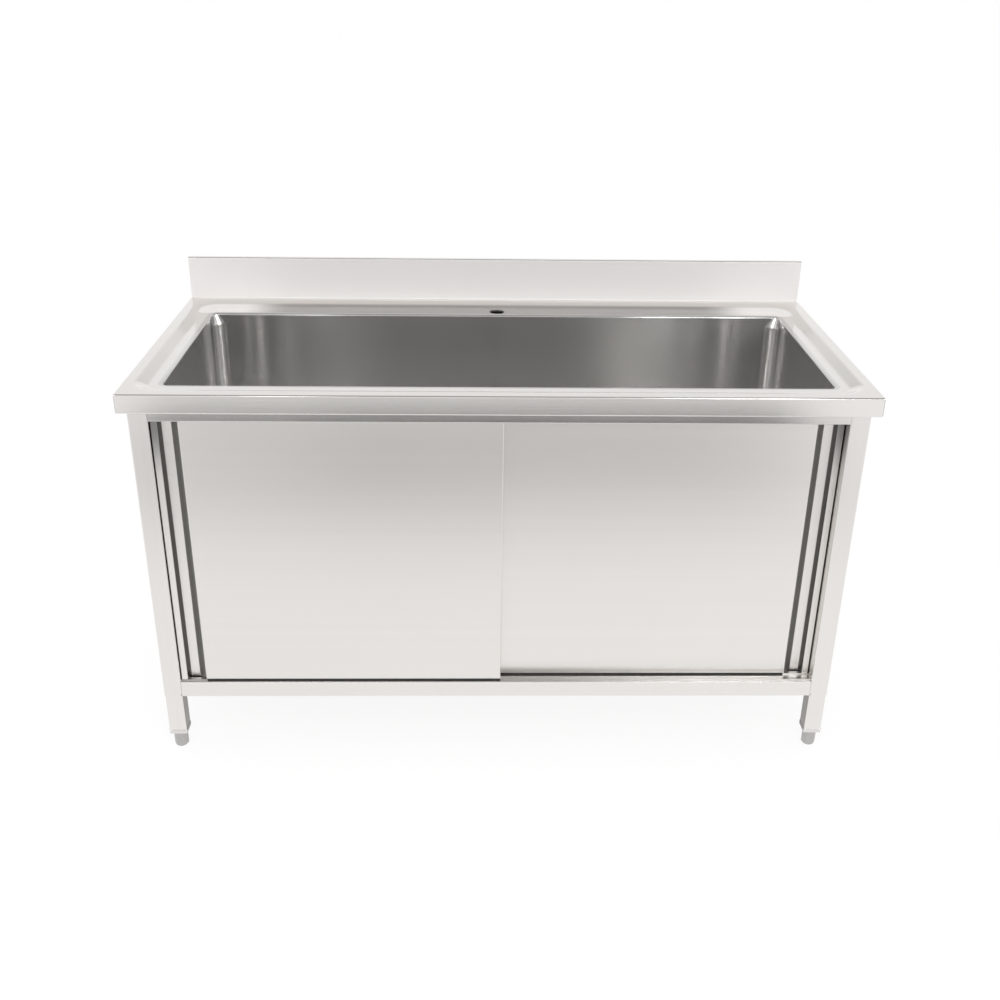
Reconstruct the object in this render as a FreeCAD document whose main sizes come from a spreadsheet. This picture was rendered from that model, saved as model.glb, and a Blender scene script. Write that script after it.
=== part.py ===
"""Free-standing commercial sink unit in stainless steel.

A long single bowl is set in a deck with a raised marine edge and a rear upstand.  The deck sits on a
cabinet of folded sheet between four square legs.  Two doors hang on rollers in an upper track and
slide past each other, and each leg ends in an adjustable foot.

Frame: millimetres, +X to the right of the person at the sink, the doors face -Y, +Z up, with the
origin on the floor under the middle of the unit.
"""
import FreeCAD, Part
import math
import os
import re

import Sketcher

Vector = FreeCAD.Vector

# Driving dimensions, in millimetres.
SIZES = {
    # whole unit
    "unit_length": 1500,
    "unit_depth": 700,
    "deck_height": 850,
    # pressed deck
    "deck_sheet": 1.2,
    "deck_fold": 3,
    "skirt_height": 40,
    "skirt_return": 11,
    "upstand_height": 100,
    "upstand_depth": 15,
    "upstand_blend": 3,
    "front_rim_width": 27,
    "end_rim_width": 24,
    "back_rim_width": 22,
    "step_run": 22,
    "step_drop": 8,
    "step_blend": 20,
    "recess_corner": 55,
    "tap_hole_diameter": 35,
    "tap_setback": 78,
    "tap_plate_length": 110,
    "tap_plate_width": 42,
    "tap_plate_sheet": 2,
    "stiffener_width": 18,
    "stiffener_height": 25,
    "stiffener_sheet": 1.2,
    "stiffener_front_gap": 1.5,
    "stiffener_back_gap": 6,
    # bowl
    "bowl_end_margin": 75,
    "bowl_front_margin": 79,
    "bowl_back_margin": 106,
    "bowl_depth": 300,
    "bowl_sheet": 1,
    "bowl_corner": 28,
    "mouth_corner": 12,
    "mouth_depth": 26,
    "bowl_floor_blend": 20,
    "bowl_lip_blend": 4,
    "bowl_flange": 10,
    # waste fitting
    "strainer_cup_radius": 43.5,
    "strainer_sheet": 1.2,
    "strainer_cup_depth": 44,
    "strainer_flange_radius": 57,
    "strainer_flange_thick": 1.6,
    "gasket_thick": 2,
    "gasket_width": 10,
    "lock_nut_width": 104,
    "lock_nut_height": 12,
    "spigot_radius": 22,
    "spigot_length": 25,
    "tail_radius": 20,
    "tail_wall": 1.2,
    "tail_length": 45,
    "tail_flange_thick": 1.6,
    "tail_collar_radius": 20.8,
    "tail_collar_gap": 1,
    "tail_nut_width": 54,
    "tail_nut_height": 22,
    "tail_nut_lip": 8,
    "basket_sheet": 0.8,
    "basket_height": 35,
    "basket_rim": 3,
    "basket_seal_thick": 3.5,
    "basket_seal_radius": 26,
    "basket_hole_radius": 1.6,
    "basket_hole_inset": 3.5,
    "basket_hole_pitch": 5,
    "basket_stem_radius": 2.5,
    "basket_stem_length": 24,
    "basket_knob_radius": 9,
    "basket_knob_height": 9,
    "basket_knob_taper": 3,
    "basket_knob_bevel": 1.8,
    # legs, caps and feet
    "leg_size": 38,
    "leg_wall": 1.2,
    "leg_corner": 3,
    "leg_bottom": 49,
    "cap_height": 9,
    "cap_proud": 0.8,
    "cap_plug_height": 25,
    "foot_width": 27.5,
    "foot_taper_height": 5,
    "foot_tip_radius": 12,
    "stud_radius": 5,
    "stud_length": 45,
    # cabinet body
    "post_inset_side": 17.5,
    "post_inset_front": 16,
    "panel_sheet": 0.8,
    "panel_bend": 2.2,
    "panel_lip": 12,
    "post_notch": 6,
    "post_seam": 0.5,
    "back_return": 25,
    "shelf_top": 178,
    "shelf_edge": 37,
    "shelf_sheet": 1,
    "shelf_bend": 2.2,
    "shelf_rib_width": 70,
    "shelf_rib_height": 25,
    "shelf_rib_lip": 15,
    "rivet_radius": 4,
    "rivet_top_radius": 2,
    "rivet_head": 1.5,
    "rivet_pitch": 150,
    # door openings and tracks
    "fascia_drop": 62,
    "fascia_hem": 4.6,
    "track_sheet": 1.2,
    "rail_clearance": 1.6,
    "rail_lip": 6,
    "rail_apron": 12,
    "ledge_drop": 47,
    "ledge_width": 12,
    "ledge_lip": 2,
    "guide_rib_width": 8,
    "guide_rib_height": 3,
    "track_stop_length": 18,
    "track_stop_height": 18,
    # doors
    "door_meeting": 5,
    "door_thick": 18,
    "door_sheet": 0.8,
    "door_bend": 2,
    "door_lift": 3.5,
    "door_cover": 8,
    "door_setback": 6,
    "door_gap": 4,
    "door_end_gap": 1.7,
    "groove_lip": 13.5,
    "groove_outer_run": 6.2,
    "groove_floor": 18,
    "groove_inner_run": 17.3,
    "groove_depth": 14,
    "door_rib_width": 60,
    "hanger_inset": 85,
    "hanger_length": 34,
    "hanger_sheet": 2,
    "hanger_foot": 5,
    "hanger_margin": 6,
    "hanger_gap": 0.6,
    "wheel_radius": 12,
    "wheel_width": 7,
    "axle_radius": 2.5,
    "axle_shoulder_radius": 4,
    "axle_head": 0.8,
    "guide_shoe_length": 30,
    "guide_shoe_gap": 0.6,
    # clearances
    "running_gap": 0.3,
    "bore_gap": 0.2,
    "pin_gap": 0.08,
}

# Places worked out from the driving dimensions.
PLACES = {
    "half_length": "unit_length / 2",
    "half_depth": "unit_depth / 2",
    "upstand_face": "half_depth - upstand_depth",
    "upstand_top": "deck_height + upstand_height",
    "upstand_half": "half_length - deck_fold",
    "skirt_bottom": "deck_height - skirt_height",
    "under_rim": "deck_height - deck_sheet",
    "recess_floor": "deck_height - step_drop",
    "under_recess": "recess_floor - deck_sheet",
    "recess_half": "half_length - end_rim_width",
    "recess_front": "front_rim_width - half_depth",
    "recess_back": "upstand_face - back_rim_width",
    "bowl_half": "half_length - bowl_end_margin",
    "bowl_back": "upstand_face - bowl_back_margin",
    "bowl_front": "bowl_front_margin - half_depth",
    "bowl_middle": "(bowl_back + bowl_front) / 2",
    "bowl_floor": "recess_floor - bowl_depth",
    "bowl_underside": "bowl_floor - bowl_sheet",
    "tap_y": "upstand_face - tap_setback",
    # waste fitting, from the bowl floor down
    "flange_bottom": "bowl_floor + gasket_thick",
    "flange_top": "flange_bottom + strainer_flange_thick",
    "cup_bore": "strainer_cup_radius - strainer_sheet",
    "cup_bottom": "flange_bottom - strainer_cup_depth",
    "cup_floor": "cup_bottom + strainer_sheet",
    "spigot_bore": "spigot_radius - strainer_sheet",
    "spigot_bottom": "cup_bottom - spigot_length",
    "nut_top": "bowl_underside - gasket_thick",
    "mouth_bottom": "recess_floor - mouth_depth",
    "tail_flange_bottom": "spigot_bottom - tail_flange_thick",
    "tail_bottom": "spigot_bottom - tail_length",
    "tail_nut_bottom": "tail_flange_bottom - tail_nut_lip",
    "tail_collar_bottom": "tail_nut_bottom - tail_collar_gap",
    "seal_bottom": "cup_floor + running_gap",
    "basket_bottom": "seal_bottom + basket_seal_thick",
    "basket_floor": "basket_bottom + basket_sheet",
    "basket_top": "basket_bottom + basket_height",
    "basket_rim_radius": "cup_bore - running_gap",
    "basket_radius": "basket_rim_radius - basket_rim",
    # posts, legs and feet
    "post_outer": "half_length - post_inset_side",
    "post_front": "half_depth - post_inset_front",
    "leg_outer": "post_outer - panel_sheet",
    "leg_inner": "leg_outer - leg_size",
    "leg_front": "post_front - panel_sheet",
    "leg_back": "leg_front - leg_size",
    "leg_x": "leg_outer - leg_size / 2",
    "leg_y": "leg_front - leg_size / 2",
    "cap_bottom": "leg_bottom - cap_height",
    "foot_top": "cap_bottom - running_gap",
    "shelf_bottom": "shelf_top - shelf_edge",
    "shelf_underside": "shelf_top - shelf_sheet",
    # tracks and doors
    "fascia_bottom": "deck_height - fascia_drop",
    "ledge_height": "deck_height - ledge_drop",
    "door_bottom": "shelf_top + door_lift",
    "door_top": "fascia_bottom + door_cover",
    "rail_top": "under_recess - rail_clearance",
    "rail_underside": "rail_top - track_sheet",
    "door_pitch": "door_thick + door_gap",
    "front_door_face": "door_setback - post_front",
    "rear_door_face": "front_door_face + door_pitch",
    "rail_back": "rear_door_face + door_pitch",
    "door_edge": "leg_inner - door_end_gap",
    "door_width": "door_edge + door_meeting",
    "ledge_underside": "ledge_height - track_sheet",
    "wheel_z": "ledge_height + wheel_radius + running_gap",
    "wheel_start": "track_sheet + (ledge_width - track_sheet - wheel_width) / 2",
    "hanger_start": "track_sheet + ledge_width + hanger_gap",
    "hanger_top": "wheel_z + hanger_margin",
    "axle_front": "wheel_start - running_gap",
    "lane_setback": "door_setback - panel_sheet",
    "shoe_start": "guide_rib_width + guide_shoe_gap",
    "door_centre": "door_edge - door_width / 2",
    # grip groove of a door, measured from the middle of the unit
    "groove_lip_edge": "door_edge - groove_lip",
    "groove_floor_outer": "groove_lip_edge - groove_outer_run",
    "groove_floor_inner": "groove_floor_outer - groove_floor",
    "groove_start": "groove_floor_inner - groove_inner_run",
    "outer_wall_shift": "door_sheet * (sqrt(groove_depth ^ 2 + groove_outer_run ^ 2) - groove_outer_run)"
    " / groove_depth",
    "inner_wall_shift": "door_sheet * (sqrt(groove_depth ^ 2 + groove_inner_run ^ 2) - groove_inner_run)"
    " / groove_depth",
}

# Holes in each ring of the basket's floor, from the outermost ring inwards.
BASKET_HOLES = (24, 18)

# Slack with which lengths and places are compared.
SLACK = 1e-3

doc = FreeCAD.newDocument("sink_unit")
dim = doc.addObject("Spreadsheet::Sheet", "dim")
at = doc.addObject("Spreadsheet::Sheet", "at")


def fill_sheets():
    """Write the driving dimensions as numbers and the places as formulas."""
    for row, (name, value) in enumerate(SIZES.items(), start=1):
        dim.set("A%d" % row, str(value))
        dim.setAlias("A%d" % row, name)
    doc.recompute()
    for row, (name, formula) in enumerate(PLACES.items(), start=1):
        at.set("A%d" % row, "=" + bound(formula, own_sheet=True))
        at.setAlias("A%d" % row, name)
        doc.recompute()


def bound(text, own_sheet=False):
    """Return an expression in which each named size or place points at its sheet."""

    def locate(match):
        word = match.group(0)
        if word in SIZES:
            return "dim." + word
        if word in PLACES:
            return word if own_sheet else "at." + word
        return word

    return re.sub(r"[a-z_]+", locate, text)


def size(name):
    """Return the number that a named size or place has now."""
    sheet = dim if name in SIZES else at
    return float(getattr(sheet, name))


def new_body(name):
    body = doc.addObject("PartDesign::Body", name)
    body.Label = name
    return body


def feature(body, kind, sketch, name):
    made = body.newObject("PartDesign::" + kind, body.Name + "_" + name)
    made.Profile = sketch
    return made


# Each axis names the origin plane that is square to it.  The plane square to Y faces -Y.
PLANES = {"X": "YZ_Plane", "Y": "XZ_Plane", "Z": "XY_Plane"}


def new_sketch(body, axis, start, length, removing, name):
    """Place a sketch so that its pad or pocket fills start to start + length along the axis."""
    sketch = body.newObject("Sketcher::SketchObject", body.Name + "_" + name)
    role = PLANES[axis]
    plane = next(item for item in body.Origin.OriginFeatures if item.Role == role)
    sketch.AttachmentSupport = [(plane, "")]
    sketch.MapMode = "FlatFace"
    far_side = "(%s) + (%s)" % (start, length)
    if axis == "Y":
        level = "-(%s)" % (start if removing else far_side)
    else:
        level = far_side if removing else start
    sketch.setExpression("AttachmentOffset.Base.z", bound(level))
    return sketch


def draw_outline(sketch, outline):
    """Draw a closed outline of straight sides whose corners are bound to expressions."""
    corners = [tuple(bound(text) for text in corner) for corner in outline]
    places = [tuple(float(sketch.evalExpression(text)) for text in corner) for corner in corners]
    for here, there in zip(places, places[1:] + places[:1]):
        sketch.addGeometry(Part.LineSegment(Vector(*here, 0), Vector(*there, 0)), False)
    for index in range(len(corners)):
        following = (index + 1) % len(corners)
        sketch.addConstraint(Sketcher.Constraint("Coincident", index, 2, following, 1))
    for index, (corner, place) in enumerate(zip(corners, places)):
        for kind, text, value in zip(("DistanceX", "DistanceY"), corner, place):
            number = sketch.addConstraint(Sketcher.Constraint(kind, -1, 1, index, 1, value))
            sketch.setExpression("Constraints[%d]" % number, text)


def draw_circle(sketch, centre, radius):
    """Draw a circle whose centre and radius are bound to expressions."""
    texts = [bound(text) for text in (*centre, radius)]
    values = [float(sketch.evalExpression(text)) for text in texts]
    middle = Vector(values[0], values[1], 0)
    circle = sketch.addGeometry(Part.Circle(middle, Vector(0, 0, 1), values[2]), False)
    rules = [
        Sketcher.Constraint("DistanceX", -1, 1, circle, 3, values[0]),
        Sketcher.Constraint("DistanceY", -1, 1, circle, 3, values[1]),
        Sketcher.Constraint("Radius", circle, values[2]),
    ]
    for rule, text in zip(rules, texts):
        number = sketch.addConstraint(rule)
        sketch.setExpression("Constraints[%d]" % number, text)


def pad(body, axis, start, length, outline, name="pad"):
    """Add the outline, run along the axis from start over length."""
    sketch = new_sketch(body, axis, start, length, False, name + "_sketch")
    draw_outline(sketch, outline)
    made = feature(body, "Pad", sketch, name)
    made.setExpression("Length", bound(length))
    return made


def round_pad(body, axis, start, length, centre, radius, name):
    """Add a cylinder that runs along the axis from start over length."""
    sketch = new_sketch(body, axis, start, length, False, name + "_sketch")
    draw_circle(sketch, centre, radius)
    made = feature(body, "Pad", sketch, name)
    made.setExpression("Length", bound(length))
    return made


def pocket(body, axis, start, length, outline, name="pocket"):
    """Cut the outline out along the axis from start over length."""
    sketch = new_sketch(body, axis, start, length, True, name + "_sketch")
    draw_outline(sketch, outline)
    made = feature(body, "Pocket", sketch, name)
    made.setExpression("Length", bound(length))
    return made


def round_pocket(body, axis, start, length, centre, radius, name):
    """Cut a round hole along the axis from start over length."""
    sketch = new_sketch(body, axis, start, length, True, name + "_sketch")
    draw_circle(sketch, centre, radius)
    made = feature(body, "Pocket", sketch, name)
    made.setExpression("Length", bound(length))
    return made


def turned(name, outline, axis="Z"):
    """Make a body by turning an outline of (radius, place along the axis) about that axis."""
    body = new_body(name)
    plane = "Y" if axis == "Z" else "Z"
    sketch = new_sketch(body, plane, "0", "0", False, "outline")
    draw_outline(sketch, outline)
    made = feature(body, "Revolution", sketch, "turned")
    made.ReferenceAxis = (sketch, ["V_Axis"])
    made.Angle = 360
    return body


def place(body, x="0", y="0", z="0"):
    """Bind the place of a sub-part to expressions."""
    for direction, text in zip("xyz", (x, y, z)):
        body.setExpression("Placement.Base." + direction, bound(text))
    return body


def rectangle(left, low, right, high):
    return [(left, low), (right, low), (right, high), (left, high)]


def hexagon(width):
    """Outline of a hexagon of the given width across its flats, with two flats square to Y."""
    corner = "(%s) / sqrt(3)" % width
    half_corner = "(%s) / 2 / sqrt(3)" % width
    flat = "(%s) / 2" % width
    return [
        (corner, "0"),
        (half_corner, flat),
        ("-" + half_corner, flat),
        ("-" + corner, "0"),
        ("-" + half_corner, "-" + flat),
        (half_corner, "-" + flat),
    ]


# The way to the left of each heading, which is the side on which a folded strip has its thickness.
LEFT_OF = {"E": (0, 1), "N": (-1, 0), "W": (0, -1), "S": (1, 0)}


def folded(path, sheet):
    """Outline of a folded strip: corners with the heading that leaves each, and the last end."""
    headings = [step[2] for step in path[:-1]]
    inner = []
    for index, step in enumerate(path):
        near = headings[max(index - 1, 0)]
        far = headings[min(index, len(headings) - 1)]
        offset = [0, 0]
        for heading in {near, far}:
            offset[0] += LEFT_OF[heading][0]
            offset[1] += LEFT_OF[heading][1]
        shifted = tuple("%s + (%d) * %s" % (step[k], offset[k], sheet) for k in range(2))
        inner.append(shifted)
    return [(step[0], step[1]) for step in path] + inner[::-1]


def mirrored(outline, side):
    """Return the outline with its first coordinates turned to the given side, +1 or -1."""
    return [("%d * (%s)" % (side, x), y) for x, y in outline]


def round_edges(body, feature_made, radius, wanted, name="rounding"):
    """Round those edges of a feature for which wanted(edge) holds."""
    doc.recompute()
    edges = feature_made.Shape.Edges
    names = ["Edge%d" % (index + 1) for index, edge in enumerate(edges) if wanted(edge)]
    made = body.newObject("PartDesign::Fillet", body.Name + "_" + name)
    made.Base = (feature_made, names)
    made.setExpression("Radius", bound(radius))
    return made


def round_upright_edges(body, feature_made, radius, depths, name):
    """Round the upright edges that lie at the given places along Y."""

    def wanted(edge):
        return upright(edge) and near(edge.BoundBox.Center.y, *depths)

    return round_edges(body, feature_made, radius, wanted, name)


def round_corner_edges(body, feature_made, radius, corner, name):
    """Round the upright edges at a named distance from the middle along X and along Y."""
    across, along = (size(word) for word in corner)

    def wanted(edge):
        middle = edge.BoundBox.Center
        return upright(edge) and near(abs(middle.x), across) and near(abs(middle.y), along)

    return round_edges(body, feature_made, radius, wanted, name)


def round_long_edge(body, feature_made, radius, corner, name):
    """Round the edges along X through a corner given as its Y and Z."""

    def wanted(edge):
        middle = edge.BoundBox.Center
        return along_x(edge) and near(middle.y, corner[0]) and near(middle.z, corner[1])

    return round_edges(body, feature_made, radius, wanted, name)


def upright(edge):
    """Tell whether an edge stands straight up."""
    ends = [vertex.Point for vertex in edge.Vertexes]
    return len(ends) == 2 and (ends[0] - ends[1]).cross(Vector(0, 0, 1)).Length < SLACK


def along_x(edge):
    """Tell whether a straight edge runs along X."""
    ends = [vertex.Point for vertex in edge.Vertexes]
    return len(ends) == 2 and (ends[0] - ends[1]).cross(Vector(1, 0, 0)).Length < SLACK


def near(value, *wanted):
    """Tell whether a value is one of the wanted ones."""
    return any(abs(value - other) < SLACK for other in wanted)


def group(name, members):
    """Join alike pieces as one sub-part of separate solids."""
    made = doc.addObject("Part::Compound", name)
    made.Label = name
    made.Links = members
    return made


# ---------------------------------------------------------------------------
# Pressed deck and bowl: blended sheet, made as the difference of two forms


def round_rectangle(half, low, high, corner, level):
    """Closed wire of a rectangle from -half to half and low to high with round corners."""
    middles = [
        (half - corner, low + corner, -90),
        (half - corner, high - corner, 0),
        (corner - half, high - corner, 90),
        (corner - half, low + corner, 180),
    ]
    arcs = []
    for x, y, start in middles:
        points = []
        for angle in (start, start + 45, start + 90):
            turn = math.radians(angle)
            points.append(Vector(x + corner * math.cos(turn), y + corner * math.sin(turn), level))
        arcs.append(Part.Arc(*points).toShape())
    edges = []
    for arc, following in zip(arcs, arcs[1:] + arcs[:1]):
        edges.append(arc)
        edges.append(Part.makeLine(arc.Vertexes[-1].Point, following.Vertexes[0].Point))
    return Part.Wire(edges)


def edges_at(shape, level, inside):
    """List the edges that lie flat at a height, within -half to half and low to high."""
    half, low, high = inside
    found = []
    for edge in shape.Edges:
        box = edge.BoundBox
        flat = box.ZLength < SLACK and abs(box.ZMin - level) < SLACK
        across = max(-box.XMin, box.XMax) < half + SLACK
        along = box.YMin > low - SLACK and box.YMax < high + SLACK
        if flat and across and along:
            found.append(edge)
    return found


def recess_form(lowered):
    """The sunk part of the deck as a solid, lowered by a sheet thickness for the underside."""
    run = size("step_run")
    half, front, back = size("recess_half"), size("recess_front"), size("recess_back")
    corner = size("recess_corner")
    top = round_rectangle(half, front, back, corner, size("deck_height") - lowered)
    floor_level = size("recess_floor") - lowered
    low = round_rectangle(half - run, front + run, back - run, corner - run, floor_level)
    form = Part.makeLoft([low, top], True, True)
    rim = edges_at(form, floor_level, (half, front, back))
    return form.makeFillet(size("step_blend"), rim)


def deck_form(depth):
    """The deck as a solid block whose faces lie a depth inside the outer faces of the sheet."""
    half, half_depth = size("half_length") - depth, size("half_depth") - depth
    level = size("deck_height") - depth
    bottom = size("skirt_bottom") + depth
    face, fold = size("upstand_face") + depth, size("deck_fold")
    end = size("upstand_half") - size("deck_sheet")
    slab = Part.makeBox(2 * half, 2 * half_depth, level - bottom, Vector(-half, -half_depth, bottom))
    corners = [edge for edge in slab.Edges if upright(edge) and edge.BoundBox.Center.y < 0]
    slab = slab.makeFillet(fold - depth, corners)
    slab = slab.makeFillet(fold - depth, edges_at(slab, bottom, (half, -half_depth, half_depth)))
    slab = slab.cut(recess_form(depth))
    recess = (size("recess_half"), size("recess_front"), size("recess_back"))
    slab = slab.makeFillet(size("step_blend") - depth, edges_at(slab, level, recess))
    rise = size("upstand_height")
    stand = Part.makeBox(2 * end, half_depth - face, rise, Vector(-end, face, level))
    form = slab.fuse(stand).removeSplitter()
    recess_edges = {edge.hashCode() for edge in edges_at(form, level, recess)}
    outer = [
        edge
        for edge in edges_at(form, level, (half, -half_depth, half_depth))
        if edge.hashCode() not in recess_edges
        and (abs(edge.BoundBox.Center.x) > half - fold or edge.BoundBox.Center.y < fold - half_depth)
    ]
    form = form.makeFillet(fold - depth, outer)
    long_edges = [edge for edge in form.Edges if edge.BoundBox.XLength > 2 * end - SLACK]
    crown = [edge for edge in long_edges if abs(edge.BoundBox.Center.z - level - rise) < SLACK]
    form = form.makeFillet(fold - depth, crown)
    long_edges = [edge for edge in form.Edges if abs(edge.BoundBox.XLength - 2 * end) < SLACK]
    root = [
        edge
        for edge in long_edges
        if abs(edge.BoundBox.Center.z - level) < SLACK and abs(edge.BoundBox.Center.y - face) < SLACK
    ]
    return form.makeFillet(size("upstand_blend") + depth, root)


def deck_top():
    """Deck with its skirt, marine edge, bowl opening, tap hole and rear upstand, from one sheet."""
    sheet, flange = size("deck_sheet"), size("bowl_flange")
    bottom, inset = size("skirt_bottom"), size("skirt_return")
    half, half_depth = size("half_length") - inset, size("half_depth") - inset
    shape = deck_form(0).cut(deck_form(sheet))
    under_side = Vector(-half, -half_depth, bottom)
    shape = shape.cut(Part.makeBox(2 * half, 2 * half_depth, sheet, under_side))
    opening = round_rectangle(
        size("bowl_half") + flange,
        size("bowl_front") - flange,
        size("bowl_back") + flange,
        size("mouth_corner") + flange,
        bottom,
    )
    through = Vector(0, 0, size("skirt_height"))
    shape = shape.cut(Part.Face(opening).extrude(through))
    hole = Part.makeCylinder(
        size("tap_hole_diameter") / 2,
        size("skirt_height"),
        Vector(0, size("tap_y"), bottom),
    )
    return shape.cut(hole)


def bowl_form(depth):
    """A block around the bowl whose hollow lies a depth outside the inner faces of the sheet."""
    flange, sheet = size("bowl_flange"), size("bowl_sheet")
    half, corner, mouth_corner = size("bowl_half"), size("bowl_corner"), size("mouth_corner")
    front, back = size("bowl_front"), size("bowl_back")
    top, bottom = size("recess_floor") - depth, size("bowl_underside") - sheet
    around = round_rectangle(half + flange, front - flange, back + flange, mouth_corner + flange, bottom)
    block = Part.Face(around).extrude(Vector(0, 0, top - bottom))
    floor_level, change = size("bowl_floor") - depth, size("mouth_bottom")
    plan = (half + depth, front - depth, back + depth)
    hollow = Part.Face(round_rectangle(*plan, corner + depth, floor_level))
    hollow = hollow.extrude(Vector(0, 0, change - floor_level))
    floor_edges = edges_at(hollow, floor_level, (half + flange, front - flange, back + flange))
    hollow = hollow.makeFillet(size("bowl_floor_blend") + depth, floor_edges)
    below = round_rectangle(*plan, corner + depth, change)
    above = round_rectangle(*plan, mouth_corner + depth, top)
    form = block.cut(hollow).cut(Part.makeLoft([below, above], True, True))
    mouth = (half + flange / 2, front - flange / 2, back + flange / 2)
    return form.makeFillet(size("bowl_lip_blend") - depth, edges_at(form, top, mouth))


def bowl():
    """Deep bowl with round corners, a rolled lip, a flange that meets the deck and a drain hole."""
    shape = bowl_form(0).cut(bowl_form(size("bowl_sheet")))
    drain = Part.makeCylinder(
        size("strainer_cup_radius") + size("bore_gap"),
        size("bowl_floor") - size("bowl_underside") + 2 * size("bowl_sheet"),
        Vector(0, size("bowl_middle"), size("bowl_underside") - size("bowl_sheet")),
    )
    return shape.cut(drain)


def pressed(name, shape):
    """Keep a pressed sheet as a sub-part."""
    made = doc.addObject("Part::Feature", name)
    made.Label = name
    made.Shape = shape
    made.Placement = FreeCAD.Placement()
    return made


def upstand_end(name, side):
    """Plate that closes one end of the upstand."""
    body = new_body(name)
    start = "upstand_half - deck_sheet" if side > 0 else "-upstand_half"
    outline = rectangle("upstand_face", "deck_height", "half_depth", "upstand_top")
    plate = pad(body, "X", start, "deck_sheet", outline)
    top = size("upstand_top")

    def wanted(edge):
        return along_x(edge) and near(edge.BoundBox.Center.z, top)

    round_edges(body, plate, "deck_fold", wanted)
    return body


def tap_plate():
    """Plate under the deck that stiffens the tap hole."""
    body = new_body("tap_plate")
    start, thick = "under_recess - tap_plate_sheet", "tap_plate_sheet"
    half, reach = "tap_plate_length / 2", "tap_plate_width / 2"
    outline = rectangle("-" + half, "tap_y - " + reach, half, "tap_y + " + reach)
    pad(body, "Z", start, thick, outline)
    round_pocket(body, "Z", start, thick, ("0", "tap_y"), "tap_hole_diameter / 2", "hole")
    return body


def deck_stiffener(name, side):
    """Channel under the deck beside the bowl, open downwards."""
    body = new_body(name)
    inner = "bowl_half + bowl_flange + bowl_sheet + running_gap"
    outer = inner + " + stiffener_width"
    low = "under_recess - stiffener_height"
    path = [
        (outer, low, "N"),
        (outer, "under_recess", "W"),
        (inner, "under_recess", "S"),
        (inner, low),
    ]
    outline = mirrored(folded(path, "stiffener_sheet"), side)
    front = "rail_back + track_sheet + stiffener_front_gap"
    pad(body, "Y", front, "leg_back - stiffener_back_gap - (%s)" % front, outline)
    return body


# ---------------------------------------------------------------------------
# Waste fitting


def at_drain(body):
    return place(body, y="bowl_middle")


def strainer_body():
    """Turned cup with a flange on the bowl floor and a threaded spigot below."""
    outline = [
        ("cup_bore", "flange_top"),
        ("strainer_flange_radius", "flange_top - strainer_flange_thick / 2"),
        ("strainer_flange_radius", "flange_bottom"),
        ("strainer_cup_radius", "flange_bottom"),
        ("strainer_cup_radius", "cup_bottom"),
        ("spigot_radius", "cup_bottom"),
        ("spigot_radius", "spigot_bottom"),
        ("spigot_bore", "spigot_bottom"),
        ("spigot_bore", "cup_floor"),
        ("cup_bore", "cup_floor"),
    ]
    return at_drain(turned("strainer_body", outline))


def gasket(name, bottom):
    """Flat rubber ring on one side of the bowl floor."""
    inner = "strainer_cup_radius + bore_gap"
    outer = "strainer_cup_radius + bore_gap + gasket_width"
    return at_drain(turned(name, rectangle(inner, bottom, outer, bottom + " + gasket_thick")))


def strainer_lock_nut():
    """Hexagonal nut that clamps the strainer to the bowl."""
    body = new_body("strainer_lock_nut")
    start = "nut_top - lock_nut_height"
    pad(body, "Z", start, "lock_nut_height", hexagon("lock_nut_width"))
    bore = "strainer_cup_radius + bore_gap / 2"
    round_pocket(body, "Z", start, "lock_nut_height", ("0", "0"), bore, "thread")
    return at_drain(body)


def tailpiece():
    """Waste pipe with a flange that seals on the spigot and a collar inside its nut."""
    outline = [
        ("tail_radius - tail_wall", "spigot_bottom"),
        ("spigot_radius", "spigot_bottom"),
        ("spigot_radius", "tail_flange_bottom"),
        ("tail_collar_radius", "tail_flange_bottom"),
        ("tail_collar_radius", "tail_collar_bottom"),
        ("tail_radius", "tail_collar_bottom"),
        ("tail_radius", "tail_bottom"),
        ("tail_radius - tail_wall", "tail_bottom"),
    ]
    return at_drain(turned("tailpiece", outline))


def tailpiece_nut():
    """Hexagonal cap nut that holds the tailpiece on the spigot."""
    body = new_body("tailpiece_nut")
    pad(body, "Z", "tail_nut_bottom", "tail_nut_height", hexagon("tail_nut_width"))
    clear = "spigot_radius + bore_gap / 2"
    depth = "tail_nut_height - tail_nut_lip"
    round_pocket(body, "Z", "tail_flange_bottom", depth, ("0", "0"), clear, "thread")
    neck = "tail_collar_radius + bore_gap / 2"
    round_pocket(body, "Z", "tail_nut_bottom", "tail_nut_height", ("0", "0"), neck, "neck")
    return at_drain(body)


def strainer_basket():
    """Lift-out basket with a rolled rim and rings of drain holes."""
    outline = [
        ("0", "basket_bottom"),
        ("basket_radius", "basket_bottom"),
        ("basket_radius", "basket_top - basket_sheet"),
        ("basket_rim_radius", "basket_top - basket_sheet"),
        ("basket_rim_radius", "basket_top"),
        ("basket_radius - basket_sheet", "basket_top"),
        ("basket_radius - basket_sheet", "basket_floor"),
        ("0", "basket_floor"),
    ]
    body = at_drain(turned("strainer_basket", outline))
    for ring, count in enumerate(BASKET_HOLES):
        name = "holes_%d" % ring
        centre = ("basket_radius - basket_hole_inset - %d * basket_hole_pitch" % ring, "0")
        hole = round_pocket(
            body, "Z", "basket_bottom", "basket_sheet", centre, "basket_hole_radius", name
        )
        doc.recompute()
        pattern = body.newObject("PartDesign::PolarPattern", body.Name + "_" + name + "_ring")
        pattern.Originals = [hole]
        pattern.Axis = (hole.Profile[0], ["N_Axis"])
        pattern.Angle = 360
        pattern.Occurrences = count
        body.Tip = pattern
    return body


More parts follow.
